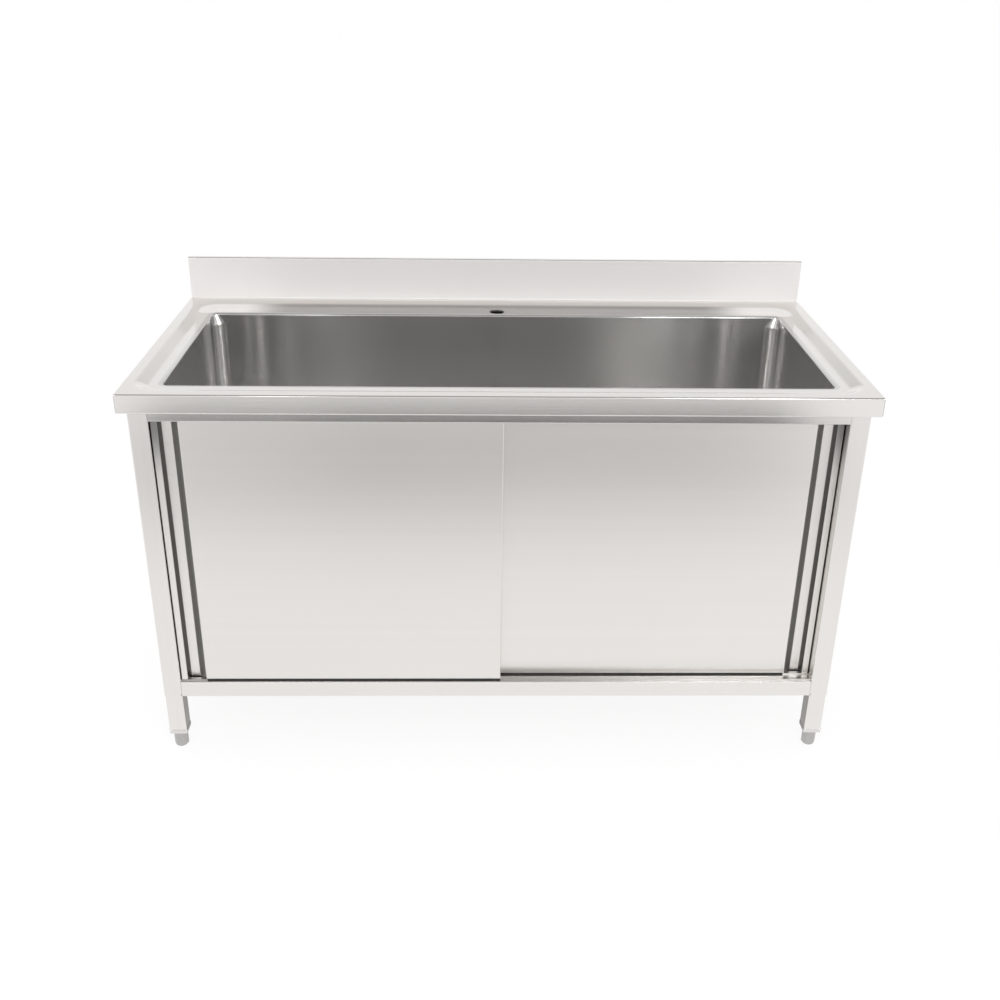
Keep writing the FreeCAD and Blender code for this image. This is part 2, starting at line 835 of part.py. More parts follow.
def basket_knob():
    """Stem and knob by which the basket is lifted."""
    neck = "basket_floor + basket_stem_length"
    top = neck + " + basket_knob_height"
    outline = [
        ("0", "basket_floor"),
        ("basket_stem_radius", "basket_floor"),
        ("basket_stem_radius", neck),
        ("basket_knob_radius", neck + " + basket_knob_taper"),
        ("basket_knob_radius", top + " - basket_knob_bevel"),
        ("basket_knob_radius - basket_knob_bevel", top),
        ("0", top),
    ]
    return at_drain(turned("basket_knob", outline))


def basket_seal():
    """Rubber ring under the basket that closes on the cup floor."""
    inner = "basket_seal_radius - gasket_width"
    outline = rectangle(inner, "seal_bottom", "basket_seal_radius", "basket_bottom")
    return at_drain(turned("basket_seal", outline))


# ---------------------------------------------------------------------------
# Legs, caps and feet

CORNERS = {
    "front_left": (-1, -1),
    "front_right": (1, -1),
    "rear_left": (-1, 1),
    "rear_right": (1, 1),
}


def at_leg(body, across, along):
    return place(body, x="%d * leg_x" % across, y="%d * leg_y" % along)


def leg(corner):
    """Square tube from the cap to the underside of the deck."""
    body = new_body("leg_" + corner)
    half = "leg_size / 2"
    height = "under_recess - leg_bottom"
    tube = pad(body, "Z", "leg_bottom", height, rectangle("-" + half, "-" + half, half, half))
    round_edges(body, tube, "leg_corner", upright)
    bore = "(leg_size / 2 - leg_wall)"
    pocket(body, "Z", "leg_bottom", height, rectangle("-" + bore, "-" + bore, bore, bore))
    return at_leg(body, *CORNERS[corner])


def leg_cap(corner):
    """Threaded cap that closes the leg and takes the foot's stud."""
    body = new_body("leg_cap_" + corner)
    half = "(leg_size / 2 + cap_proud)"
    collar = pad(body, "Z", "cap_bottom", "cap_height", rectangle("-" + half, "-" + half, half, half))
    round_edges(body, collar, "leg_corner + cap_proud", upright)
    plug = "(leg_size / 2 - leg_wall)"
    outline = rectangle("-" + plug, "-" + plug, plug, plug)
    pad(body, "Z", "leg_bottom", "cap_plug_height", outline, "plug")
    bore = "stud_radius + pin_gap"
    height = "cap_height + cap_plug_height"
    round_pocket(body, "Z", "cap_bottom", height, ("0", "0"), bore, "thread")
    return at_leg(body, *CORNERS[corner])


def foot(corner):
    """Hexagonal foot with a tapered tip and a threaded stud."""
    body = new_body("foot_" + corner)
    pad(body, "Z", "0", "foot_top", hexagon("foot_width"))
    taper = new_sketch(body, "Y", "0", "0", False, "taper")
    outer = "foot_width / sqrt(3)"
    draw_outline(
        taper,
        [
            ("foot_tip_radius", "0"),
            (outer, "foot_taper_height"),
            (outer + " * 2", "foot_taper_height"),
            (outer + " * 2", "0"),
        ],
    )
    groove = feature(body, "Groove", taper, "tip")
    groove.ReferenceAxis = (taper, ["V_Axis"])
    groove.Angle = 360
    round_pad(body, "Z", "foot_top", "stud_length", ("0", "0"), "stud_radius", "stud")
    return at_leg(body, *CORNERS[corner])


# ---------------------------------------------------------------------------
# Cabinet body


def side_panel(name, side):
    """Side sheet folded round both legs of its side, with a lip under the deck's rim."""
    body = new_body(name)
    height = "under_rim - shelf_bottom"
    path = [
        ("leg_inner + post_seam", "-post_front", "E"),
        ("post_outer", "-post_front", "N"),
        ("post_outer", "post_front", "W"),
        ("leg_inner", "post_front"),
    ]
    outline = mirrored(folded(path, "panel_sheet"), side)
    wrap = pad(body, "Z", "shelf_bottom", height, outline)
    outside = ("post_outer", "post_front")
    wrap = round_corner_edges(body, wrap, "panel_bend", outside, "bends")
    inside = ("leg_outer", "leg_front")
    round_corner_edges(body, wrap, "panel_bend - panel_sheet", inside, "bends_inside")
    lip = rectangle("leg_outer", "-post_front", "post_outer + panel_lip", "post_front")
    pad(body, "Z", "under_rim - panel_sheet", "panel_sheet", mirrored(lip, side), "lip")
    corner = [
        ("leg_inner", "shelf_bottom"),
        ("leg_inner + post_notch", "shelf_bottom"),
        ("leg_inner", "shelf_bottom + post_notch"),
    ]
    pocket(body, "Y", "-post_front", "panel_sheet", mirrored(corner, side), "notch")
    return body


def back_panel():
    """Back sheet between the rear legs, with returns along them and a lip under the deck."""
    body = new_body("back_panel")
    inner = "post_front - back_return"
    path = [
        ("leg_inner", inner, "N"),
        ("leg_inner", "post_front", "W"),
        ("-leg_inner", "post_front", "S"),
        ("-leg_inner", inner),
    ]
    pad(body, "Z", "shelf_bottom", "under_rim - shelf_bottom", folded(path, "panel_sheet"))
    edge = "(leg_inner - panel_sheet)"
    lip = rectangle("-" + edge, "leg_front - panel_lip", edge, "post_front")
    pad(body, "Z", "under_rim - panel_sheet", "panel_sheet", lip, "lip")
    return body


def base_shelf():
    """Shelf with folded edges all round, notched for the legs."""
    body = new_body("base_shelf")
    rear = "leg_inner - panel_sheet"
    quarter = [
        ("leg_inner", "-post_front"),
        ("leg_inner", "-leg_back"),
        ("leg_outer", "-leg_back"),
        ("leg_outer", "leg_back"),
        (rear, "leg_back"),
        (rear, "leg_front"),
    ]
    outline = quarter + mirrored(quarter, -1)[::-1]
    block = pad(body, "Z", "shelf_bottom", "shelf_edge", outline)
    front, top, sheet = -size("post_front"), size("shelf_top"), size("shelf_sheet")
    round_long_edge(body, block, "shelf_bend", (front, top), "bend")
    inside = []
    pulls = [(-1, 1), (-1, 1), (-1, 1), (-1, -1), (-1, -1), (-1, -1)]
    for (x, y), (pull_x, pull_y) in zip(quarter, pulls):
        inside.append(("%s + (%d) * shelf_sheet" % (x, pull_x), "%s + (%d) * shelf_sheet" % (y, pull_y)))
    hollow = inside + mirrored(inside, -1)[::-1]
    hollowed = pocket(body, "Z", "shelf_bottom", "shelf_edge - shelf_sheet", hollow)
    inner_corner = (front + sheet, top - sheet)
    round_long_edge(body, hollowed, "shelf_bend - shelf_sheet", inner_corner, "bend_inside")
    return body


def shelf_stiffener():
    """Hat channel under the shelf."""
    body = new_body("shelf_stiffener")
    half, low = "shelf_rib_width / 2", "shelf_underside - shelf_rib_height"
    path = [
        (half + " + shelf_rib_lip", "shelf_underside", "W"),
        (half, "shelf_underside", "S"),
        (half, low, "W"),
        ("-" + half, low, "N"),
        ("-" + half, "shelf_underside", "W"),
        ("-(%s + shelf_rib_lip)" % half, "shelf_underside"),
    ]
    reach = "(leg_outer - shelf_sheet)"
    pad(body, "X", "-" + reach, reach + " * 2", folded(path, "shelf_sheet"))
    return body


def panel_rivets():
    """Rivet heads that fix the side panels to the rear legs."""
    heads = []
    count = int((size("deck_height") - size("shelf_top")) / size("rivet_pitch"))
    for side in (-1, 1):
        for number in range(count):
            head = doc.addObject("Part::Cone", "rivet")
            head.setExpression("Radius1", bound("rivet_radius"))
            head.setExpression("Radius2", bound("rivet_top_radius"))
            head.setExpression("Height", bound("rivet_head"))
            head.Placement.Rotation = FreeCAD.Rotation(Vector(1, 0, 0), -90)
            place(
                head,
                x="%d * leg_x" % side,
                y="post_front",
                z="shelf_top + (%d + 0.5) * rivet_pitch" % number,
            )
            heads.append(head)
    return group("panel_rivets", heads)


# ---------------------------------------------------------------------------
# Door tracks


def front_fascia():
    """Top rail between the front posts, with a safety edge below and a lip under the deck."""
    body = new_body("front_fascia")
    rear = "-leg_front"
    path = [
        (rear + " + fascia_hem", "fascia_bottom + panel_sheet", "W"),
        (rear, "fascia_bottom + panel_sheet", "N"),
        (rear, "under_rim", "W"),
        ("-post_front - panel_lip", "under_rim"),
    ]
    strip = pad(body, "X", "-leg_inner", "leg_inner * 2", folded(path, "panel_sheet"))
    low, sheet = size("fascia_bottom"), size("panel_sheet")
    strip = round_long_edge(body, strip, "panel_bend", (-size("post_front"), low), "bend")
    inner_corner = (-size("leg_front"), low + sheet)
    round_long_edge(body, strip, "panel_bend - panel_sheet", inner_corner, "bend_inside")
    return body


def top_rail():
    """Channel between the front legs from which both door tracks hang."""
    body = new_body("top_rail")
    path = [
        ("-leg_front", "rail_top + rail_lip", "S"),
        ("-leg_front", "rail_underside", "E"),
        ("rail_back", "rail_underside", "S"),
        ("rail_back", "rail_underside - rail_apron"),
    ]
    pad(body, "X", "-leg_inner", "leg_inner * 2", folded(path, "track_sheet"))
    return body


def door_track(name, lane):
    """Track of one door: a wall under the top rail and a lipped ledge for the wheels."""
    body = new_body(name)
    wall = lane + " - lane_setback"
    edge = wall + " + track_sheet + ledge_width"
    path = [
        (wall, "rail_underside", "S"),
        (wall, "ledge_underside", "E"),
        (edge, "ledge_underside", "N"),
        (edge, "ledge_height + ledge_lip"),
    ]
    pad(body, "X", "-leg_inner", "leg_inner * 2", folded(path, "track_sheet"))
    return body


def guide_rib(name, number):
    """Low rib on the shelf that guides the shoes of a door."""
    body = new_body(name)
    front = "front_door_face + %d * door_pitch" % number
    back = front + " + guide_rib_width"
    top = "shelf_top + guide_rib_height"
    path = [(back, "shelf_top", "N"), (back, top, "W"), (front, top, "S"), (front, "shelf_top")]
    pad(body, "X", "-leg_inner", "leg_inner * 2", folded(path, "panel_sheet"))
    return body


def track_stops():
    """Rubber blocks on the ledges that stop each door at its closed and open ends."""
    blocks = []
    inner = "door_edge - hanger_inset + wheel_radius + running_gap"
    for lane in ("front_door_face", "rear_door_face"):
        for side in (-1, 1):
            body = new_body("track_stop")
            outline = rectangle(
                inner,
                lane + " - lane_setback + track_sheet",
                inner + " + track_stop_length",
                lane + " - lane_setback + ledge_width",
            )
            pad(body, "Z", "ledge_height", "track_stop_height", mirrored(outline, side))
            blocks.append(body)
    return group("track_stops", blocks)


# ---------------------------------------------------------------------------
# Doors.  Each outline is drawn for the right door and mirrored for the left one.


def door_section(lane):
    """Outer corners of a door's cross-section, from the meeting edge to the outer edge."""
    back = lane + " + door_thick"
    floor = lane + " + groove_depth"
    return [
        ("-door_meeting", back),
        ("-door_meeting", lane),
        ("groove_start", lane),
        ("groove_floor_inner", floor),
        ("groove_floor_outer", floor),
        ("groove_lip_edge", lane),
        ("door_edge", lane),
        ("door_edge", back),
    ]


def door_skin(name, side, lane):
    """Front sheet with the full-height grip groove and folded edges."""
    body = new_body(name)
    outer = door_section(lane)
    back = lane + " + door_thick"
    front = lane + " + door_sheet"
    floor = front + " + groove_depth"
    inner = [
        ("door_edge - door_sheet", back),
        ("door_edge - door_sheet", front),
        ("groove_lip_edge + outer_wall_shift", front),
        ("groove_floor_outer + outer_wall_shift", floor),
        ("groove_floor_inner - inner_wall_shift", floor),
        ("groove_start - inner_wall_shift", front),
        ("door_sheet - door_meeting", front),
        ("door_sheet - door_meeting", back),
    ]
    height = "door_top - door_bottom"
    pad(body, "Z", "door_bottom", height, mirrored(outer + inner, side))
    pad(body, "Z", "door_bottom", "door_sheet", mirrored(outer, side), "bottom")
    closed = pad(body, "Z", "door_top - door_sheet", "door_sheet", mirrored(outer, side), "top")
    face, sheet, depth = size(lane), size("door_sheet"), size("groove_depth")
    outside = (face, face + depth + sheet)
    bent = round_upright_edges(body, closed, "door_bend", outside, "bends")
    inside = (face + sheet, face + depth)
    round_upright_edges(body, bent, "door_bend - door_sheet", inside, "bends_inside")
    return body


def door_liner(name, side, lane):
    """Flat sheet that closes the back of a door."""
    body = new_body(name)
    back = lane + " + door_thick"
    outline = rectangle(
        "door_sheet - door_meeting",
        back + " - door_sheet",
        "door_edge - door_sheet",
        back,
    )
    start = "door_bottom + door_sheet"
    height = "door_top - door_bottom - door_sheet * 2"
    pad(body, "Z", start, height, mirrored(outline, side))
    return body


def door_stiffener(name, side, lane):
    """Upright channel between the two sheets of a door."""
    body = new_body(name)
    left = "door_centre - door_rib_width / 2"
    right = "door_centre + door_rib_width / 2"
    front = lane + " + door_sheet"
    back = lane + " + door_thick - door_sheet"
    path = [(left, back, "S"), (left, front, "E"), (right, front, "N"), (right, back)]
    start = "door_bottom + door_sheet"
    height = "door_top - door_bottom - door_sheet * 2"
    pad(body, "Z", start, height, mirrored(folded(path, "door_sheet"), side))
    return body


HANGER_PLACES = {"outer": "door_edge - hanger_inset", "inner": "hanger_inset - door_meeting"}


def door_hangers(name, side, lane):
    """Two angle brackets on the top edge of a door."""
    brackets = []
    face = lane + " - lane_setback + hanger_start"
    back = face + " + hanger_sheet + hanger_foot"
    path = [
        (back, "door_top", "W"),
        (face, "door_top", "N"),
        (face, "hanger_top"),
    ]
    for middle in HANGER_PLACES.values():
        body = new_body("hanger")
        x = "%d * (%s)" % (side, middle)
        outline = bracket_outline(path)
        pad(body, "X", x + " - hanger_length / 2", "hanger_length", outline)
        bore = "axle_radius"
        round_pocket(body, "Y", face, "hanger_sheet", (x, "wheel_z"), bore, "bore")
        brackets.append(body)
    return group(name, brackets)


def bracket_outline(path):
    """Outline of an angle bracket with its thickness above the foot and behind the plate."""
    (back, low, _), (face, _, _), (_, top) = path
    return [
        (face, low),
        (back, low),
        (back, low + " + hanger_sheet"),
        (face + " + hanger_sheet", low + " + hanger_sheet"),
        (face + " + hanger_sheet", top),
        (face, top),
    ]


def door_axles(name, side, lane):
    """Shouldered pins of a door's two wheels."""
    pins = []
    wall = lane + " - lane_setback"
    back = wall + " + hanger_start + hanger_sheet"
    shoulder = wall + " + hanger_start"
    wheel_back = wall + " + wheel_start + wheel_width + running_gap"
    wheel_front = wall + " + axle_front"
    outline = [
        ("0", back),
        ("axle_radius", back),
        ("axle_radius", shoulder),
        ("axle_shoulder_radius", shoulder),
        ("axle_shoulder_radius", wheel_back),
        ("axle_radius", wheel_back),
        ("axle_radius", wheel_front),
        ("axle_shoulder_radius", wheel_front),
        ("axle_shoulder_radius", wheel_front + " - axle_head"),
        ("0", wheel_front + " - axle_head"),
    ]
    for middle in HANGER_PLACES.values():
        pin = turned("axle", outline, "Y")
        pins.append(place(pin, x="%d * (%s)" % (side, middle), z="wheel_z"))
    return group(name, pins)


def door_wheel(name, side, lane, middle):
    """Nylon wheel that rolls on a track's ledge."""
    front = lane + " - lane_setback + wheel_start"
    back = front + " + wheel_width"
    bore, tread = "axle_radius + pin_gap", "wheel_radius"
    outline = [
        (bore, front),
        (tread + " - axle_head", front),
        (tread, front + " + axle_head"),
        (tread, back + " - axle_head"),
        (tread + " - axle_head", back),
        (bore, back),
    ]
    return place(turned(name, outline, "Y"), x="%d * (%s)" % (side, middle), z="wheel_z")


def door_shoes(name, side, lane):
    """Two nylon shoes under a door that run between the guide ribs."""
    shoes = []
    start = lane + " + shoe_start"
    for middle in HANGER_PLACES.values():
        body = new_body("shoe")
        outline = rectangle(
            middle + " - guide_shoe_length / 2",
            start,
            middle + " + guide_shoe_length / 2",
            lane + " + door_thick",
        )
        low = "shelf_top + running_gap"
        pad(body, "Z", low, "door_bottom - (%s)" % low, mirrored(outline, side))
        shoes.append(body)
    return group(name, shoes)


DOORS = {"left": (-1, "front_door_face"), "right": (1, "rear_door_face")}
SIDES = {"left": -1, "right": 1}


def build():
    """Build every sub-part and return them in the order of assembly."""
    fill_sheets()
    made = [pressed("deck_top", deck_top()), pressed("bowl", bowl()), tap_plate()]
    for word, side in SIDES.items():
        made.append(upstand_end("upstand_end_" + word, side))
        made.append(deck_stiffener("deck_stiffener_" + word, side))
        made.append(side_panel("side_panel_" + word, side))
    made += [strainer_body(), strainer_lock_nut(), tailpiece(), tailpiece_nut()]
    made.append(gasket("strainer_upper_gasket", "bowl_floor"))
    made.append(gasket("strainer_lower_gasket", "nut_top"))
    made += [strainer_basket(), basket_knob(), basket_seal()]
    for corner in CORNERS:
        made += [leg(corner), leg_cap(corner), foot(corner)]
    made += [back_panel(), base_shelf(), shelf_stiffener(), panel_rivets()]
    made += [front_fascia(), top_rail(), track_stops()]
    made.append(door_track("front_door_track", "front_door_face"))
    made.append(door_track("rear_door_track", "rear_door_face"))
    for number, word in enumerate(("front", "middle", "rear")):
        made.append(guide_rib("guide_rib_" + word, number))
    for word, (side, lane) in DOORS.items():
        name = word + "_door_"
        made.append(door_skin(name + "skin", side, lane))
        made.append(door_liner(name + "liner", side, lane))
        made.append(door_stiffener(name + "stiffener", side, lane))
        made.append(door_hangers(name + "hangers", side, lane))
        made.append(door_axles(name + "axles", side, lane))
        made.append(door_shoes(name + "shoes", side, lane))
        for end, middle in HANGER_PLACES.items():
            made.append(door_wheel(name + end + "_wheel", side, lane, middle))
    doc.recompute()
    return made


def check(parts):
    """Stop if any object failed or any sub-part has no valid shape."""
    for item in doc.Objects:
        if {"Invalid", "Error"} & set(item.State):
            raise RuntimeError("%s failed: %s" % (item.Label, item.State))
    for part in parts:
        if part.Shape.isNull() or not part.Shape.isValid():
            raise RuntimeError("%s has no valid shape" % part.Label)


def export(parts):
    """Write each sub-part to a STEP file named after it."""
    os.makedirs("parts", exist_ok=True)
    for part in parts:
        part.Shape.exportStep(os.path.join("parts", part.Label + ".step"))
        box = part.Shape.BoundBox
        print(
            "%-24s %2d solids %10.0f mm3  x %8.1f %8.1f  y %8.1f %8.1f  z %7.1f %7.1f"
            % (
                part.Label,
                len(part.Shape.Solids),
                part.Shape.Volume,
                box.XMin,
                box.XMax,
                box.YMin,
                box.YMax,
                box.ZMin,
                box.ZMax,
            )
        )


PARTS = build()
check(PARTS)
export(PARTS)
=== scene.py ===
"""Kitchen sink unit in satin stainless steel: its finishes, small fittings and the studio.

Metres, +X to the right of the person at the sink, the doors face -Y, +Z up, floor at zero.
"""

import enum
import logging
import math
from dataclasses import dataclass, field

import bmesh
import bpy
from mathutils import Matrix, Vector

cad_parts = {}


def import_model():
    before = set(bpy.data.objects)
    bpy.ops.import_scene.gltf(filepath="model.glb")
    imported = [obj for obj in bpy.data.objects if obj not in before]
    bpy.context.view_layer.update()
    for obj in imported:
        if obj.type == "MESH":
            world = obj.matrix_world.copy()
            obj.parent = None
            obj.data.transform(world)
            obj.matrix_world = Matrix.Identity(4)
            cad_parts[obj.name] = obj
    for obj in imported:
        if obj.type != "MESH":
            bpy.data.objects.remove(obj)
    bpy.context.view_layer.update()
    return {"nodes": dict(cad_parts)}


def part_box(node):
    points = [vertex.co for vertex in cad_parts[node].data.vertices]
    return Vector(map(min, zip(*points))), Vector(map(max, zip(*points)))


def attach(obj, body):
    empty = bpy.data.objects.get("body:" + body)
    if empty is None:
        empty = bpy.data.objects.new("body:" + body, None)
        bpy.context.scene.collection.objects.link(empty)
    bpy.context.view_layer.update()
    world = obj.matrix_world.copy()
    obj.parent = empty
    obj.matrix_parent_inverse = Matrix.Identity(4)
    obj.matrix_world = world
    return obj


LOG = logging.getLogger("sink_unit")
MILLIMETRE = 0.001
BAND_PITCH_SHARE = 0.06
"""Pitch of a grain's wide bands as a share of that of its fine streaks."""
QUARTER_TURN = 0.25
"""Rotation of the anisotropic highlight on a sheet that isn't brushed upright."""

Node = bpy.types.Node
Tree = bpy.types.NodeTree
Socket = bpy.types.NodeSocket
Thing = bpy.types.Object
Material = bpy.types.Material
Form = bmesh.types.BMesh
Colour = tuple[float, float, float]
Value = Socket | float


class GrainRun(enum.Enum):
    """Direction in which a sheet was brushed, as how fast its grain changes along X, Y and Z."""

    ALONG_X = (0.004, 1.0, 1.0)
    UPRIGHT = (1.0, 1.0, 0.004)
    TUMBLED = (0.3, 0.3, 0.3)


class Side(enum.IntEnum):
    """Left or right of the person who stands at the sink, as a sign along X."""

    LEFT = -1
    RIGHT = 1


class Corner(enum.Enum):
    """Corner of the unit at which a leg stands, as signs along X and Y."""

    FRONT_LEFT = (-1, -1)
    FRONT_RIGHT = (1, -1)
    REAR_LEFT = (-1, 1)
    REAR_RIGHT = (1, 1)


# ---------------------------------------------------------------------------
# Shader groups


def add_node(tree: Tree, kind: str, **values: object) -> Node:
    """Add a shader node and set its plain properties.

    Args:
        tree: The node tree that gets the node.
        kind: The node's type name without the ShaderNode prefix.
        values: Properties to set on the node.

    Returns:
        The new node.
    """
    node = tree.nodes.new("ShaderNode" + kind)
    for name, value in values.items():
        setattr(node, name, value)
    return node


def new_group(name: str, inputs: dict[str, float], outputs: tuple[str, ...]) -> Tree:
    """Make an empty shader node group with number inputs, a Place input and number outputs.

    Args:
        name: The group's name.
        inputs: Default value of each number input.
        outputs: Names of the number outputs.

    Returns:
        The node tree, which holds its Group Input and Group Output.
    """
    group = bpy.data.node_groups.new(name, "ShaderNodeTree")
    group.interface.new_socket("Place", in_out="INPUT", socket_type="NodeSocketVector")
    for label, value in inputs.items():
        socket = group.interface.new_socket(label, in_out="INPUT", socket_type="NodeSocketFloat")
        socket.default_value = value
    for label in outputs:
        group.interface.new_socket(label, in_out="OUTPUT", socket_type="NodeSocketFloat")
    group.nodes.new("NodeGroupInput")
    group.nodes.new("NodeGroupOutput")
    return group


def feed(tree: Tree, source: Value | tuple[float, ...], target: Socket) -> None:
    """Give an input a link or a plain value.

    Args:
        tree: The node tree.
        source: The socket to link, or the value.
        target: The input.
    """
    if isinstance(source, Socket):
        tree.links.new(source, target)
    else:
        target.default_value = source


def math_node(tree: Tree, operation: str, first: Value, second: Value = 0.0) -> Socket:
    """Add a Math node.

    Args:
        tree: The node tree that gets the node.
        operation: The Math node's operation.
        first: The first socket or number.
        second: The second socket or number.

    Returns:
        The result's socket.
    """
    node = add_node(tree, "Math", operation=operation)
    feed(tree, first, node.inputs[0])
    feed(tree, second, node.inputs[1])
    return node.outputs[0]


def product(tree: Tree, first: Value, second: Value) -> Socket:
    """Return the product of two values."""
    return math_node(tree, "MULTIPLY", first, second)


def add_noise(
    tree: Tree,
    place: Socket,
    scale: Socket,
    detail: float,
    roughness: float = 0.5,
    distortion: float = 0.0,
) -> Socket:
    """Add a noise texture.

    Args:
        tree: The node tree that gets the node.
        place: Where the noise is looked up.
        scale: The noise's scale.
        detail: Number of octaves.
        roughness: Share of the finer octaves.
        distortion: How far the noise is warped.

    Returns:
        The noise's socket, between 0 and 1.
    """
    noise = add_node(tree, "TexNoise")
    values = {
        "Vector": place,
        "Scale": scale,
        "Detail": detail,
        "Roughness": roughness,
        "Distortion": distortion,
    }
    for label, value in values.items():
        feed(tree, value, noise.inputs[label])
    return noise.outputs[0]


def add_ramp(
    tree: Tree,
    source: Socket,
    start: float,
    full: float,
    low: float = 0.0,
    high: float = 1.0,
    soft: bool = True,
) -> Socket:
    """Turn one range of a value into another, and hold it outside that range.

    Args:
        tree: The node tree that gets the node.
        source: The value's socket.
        start: Where the range starts.
        full: Where the range ends.
        low: Result at the start.
        high: Result at the end.
        soft: Whether the result eases in and out.

    Returns:
        The result's socket.
    """
    ramp = add_node(tree, "MapRange", interpolation_type="SMOOTHSTEP" if soft else "LINEAR")
    values = {"Value": source, "From Min": start, "From Max": full, "To Min": low, "To Max": high}
    for label, value in values.items():
        feed(tree, value, ramp.inputs[label])
    return ramp.outputs[0]


def grain_group() -> Tree:
    """Brushed grain: fine streaks, and wide bands in which they lie.

    Returns:
        The group, whose outputs lie between 0 and 1.
    """
    inputs = {"Across X": 1.0, "Across Y": 1.0, "Across Z": 1.0, "Pitch": 900.0}
    group = new_group("brushed_grain", inputs, ("Streaks", "Bands"))
    source = group.nodes["Group Input"]
    sink = group.nodes["Group Output"]
    across = add_node(group, "CombineXYZ")
    for index, axis in enumerate("XYZ"):
        group.links.new(source.outputs["Across " + axis], across.inputs[index])
    stretched = add_node(group, "VectorMath", operation="MULTIPLY")
    group.links.new(source.outputs["Place"], stretched.inputs[0])
    group.links.new(across.outputs[0], stretched.inputs[1])
    pitch = source.outputs["Pitch"]
    fine = add_noise(group, stretched.outputs[0], pitch, detail=3.0, roughness=0.65)
    group.links.new(fine, sink.inputs["Streaks"])
    coarse_pitch = product(group, pitch, BAND_PITCH_SHARE)
    wide = add_noise(group, stretched.outputs[0], coarse_pitch, detail=2.0)
    group.links.new(wide, sink.inputs["Bands"])
    return group


def handling_group() -> Tree:
    """Soft clouds left by rolling and wiping, at the scale of a hand.

    Returns:
        The group, whose output lies between 0 and 1.
    """
    group = new_group("handling_clouds", {"Scale": 4.0}, ("Clouds",))
    source = group.nodes["Group Input"]
    place, scale = source.outputs["Place"], source.outputs["Scale"]
    clouds = add_noise(group, place, scale, detail=4.0, distortion=0.4)
    group.links.new(clouds, group.nodes["Group Output"].inputs["Clouds"])
    return group


def past_group() -> Tree:
    """Mask of what lies past a plane that is square to X, Y or Z.

    Returns:
        The group, whose output runs from 0 before the plane to 1 past it.
    """
    inputs = {"Along X": 0.0, "Along Y": 0.0, "Along Z": 0.0, "Level": 0.0}
    inputs["Softness"] = MILLIMETRE
    group = new_group("past_level", inputs, ("Mask",))
    source = group.nodes["Group Input"]
    way = add_node(group, "CombineXYZ")
    for index, axis in enumerate("XYZ"):
        group.links.new(source.outputs["Along " + axis], way.inputs[index])
    along = add_node(group, "VectorMath", operation="DOT_PRODUCT")
    group.links.new(source.outputs["Place"], along.inputs[0])
    group.links.new(way.outputs[0], along.inputs[1])
    past = math_node(group, "SUBTRACT", along.outputs["Value"], source.outputs["Level"])
    share = math_node(group, "DIVIDE", past, source.outputs["Softness"])
    mask = add_ramp(group, share, -1.0, 1.0)
    group.links.new(mask, group.nodes["Group Output"].inputs["Mask"])
    return group


def thread_group() -> Tree:
    """Ridges of a screw thread over a span of height.

    Returns:
        The group, whose output is the ridge's height between 0 and 1.
    """
    group = new_group("screw_thread", {"Pitch": 0.0015, "Bottom": 0.0, "Top": 0.1}, ("Ridges",))
    source = group.nodes["Group Input"]
    split = add_node(group, "SeparateXYZ")
    group.links.new(source.outputs["Place"], split.inputs[0])
    turns = math_node(group, "DIVIDE", split.outputs["Z"], source.outputs["Pitch"])
    half_turn = 0.5
    ridge = math_node(group, "PINGPONG", turns, half_turn)
    above = math_node(group, "GREATER_THAN", split.outputs["Z"], source.outputs["Bottom"])
    below = math_node(group, "LESS_THAN", split.outputs["Z"], source.outputs["Top"])
    height = product(group, ridge, 1.0 / half_turn)
    shown = product(group, height, product(group, above, below))
    group.links.new(shown, group.nodes["Group Output"].inputs["Ridges"])
    return group


class ShaderKit:
    """The shader groups, each built once and placed in every finish that uses it."""

    def __init__(self) -> None:
        """Build the groups."""
        self.grain = grain_group()
        self.handling = handling_group()
        self.past = past_group()
        self.thread = thread_group()

    def place(self, tree: Tree, group: Tree, values: dict[str, float]) -> Node:
        """Place a group on Object coordinates in a material.

        Args:
            tree: The material's node tree.
            group: The shader group.
            values: Numbers for the group's inputs.

        Returns:
            The group's node.
        """
        node = add_node(tree, "Group", node_tree=group)
        coordinates = add_node(tree, "TexCoord")
        tree.links.new(coordinates.outputs["Object"], node.inputs["Place"])
        for label, value in values.items():
            node.inputs[label].default_value = value
        return node

    def beyond(
        self, tree: Tree, way: str, along: float, level: float, softness: float = MILLIMETRE
    ) -> Socket:
        """Mask what lies beyond a level, seen along an axis or against it.

        Args:
            tree: The material's node tree.
            way: The axis, X, Y or Z.
            along: 1 to look along the axis, -1 to look against it.
            level: The level, which has its sign turned when looking against the axis.
            softness: How far the mask takes to rise.

        Returns:
            The mask's socket.
        """
        values = {"Along " + way: along, "Level": level, "Softness": softness}
        return self.place(tree, self.past, values).outputs["Mask"]


# ---------------------------------------------------------------------------
# Finishes


def blank_material(name: str) -> tuple[Material, Tree, Node]:
    """Make a material that holds one Principled BSDF.

    Args:
        name: The material's name.

    Returns:
        The material, its tree and its Principled BSDF.
    """
    material = bpy.data.materials.new(name)
    material.use_nodes = True
    tree = material.node_tree
    return material, tree, tree.nodes["Principled BSDF"]


def spread(tree: Tree, source: Socket, low: float, high: float) -> Socket:
    """Spread a value between 0 and 1 evenly over another range."""
    return add_ramp(tree, source, 0.0, 1.0, low, high, soft=False)


def swing(tree: Tree, source: Socket, middle: float, reach: float) -> Socket:
    """Spread a value between 0 and 1 evenly to both sides of a middle."""
    return spread(tree, source, middle - reach, middle + reach)


def feeding(target: Socket) -> Socket:
    """Return the socket that an input is linked from."""
    return target.links[0].from_socket


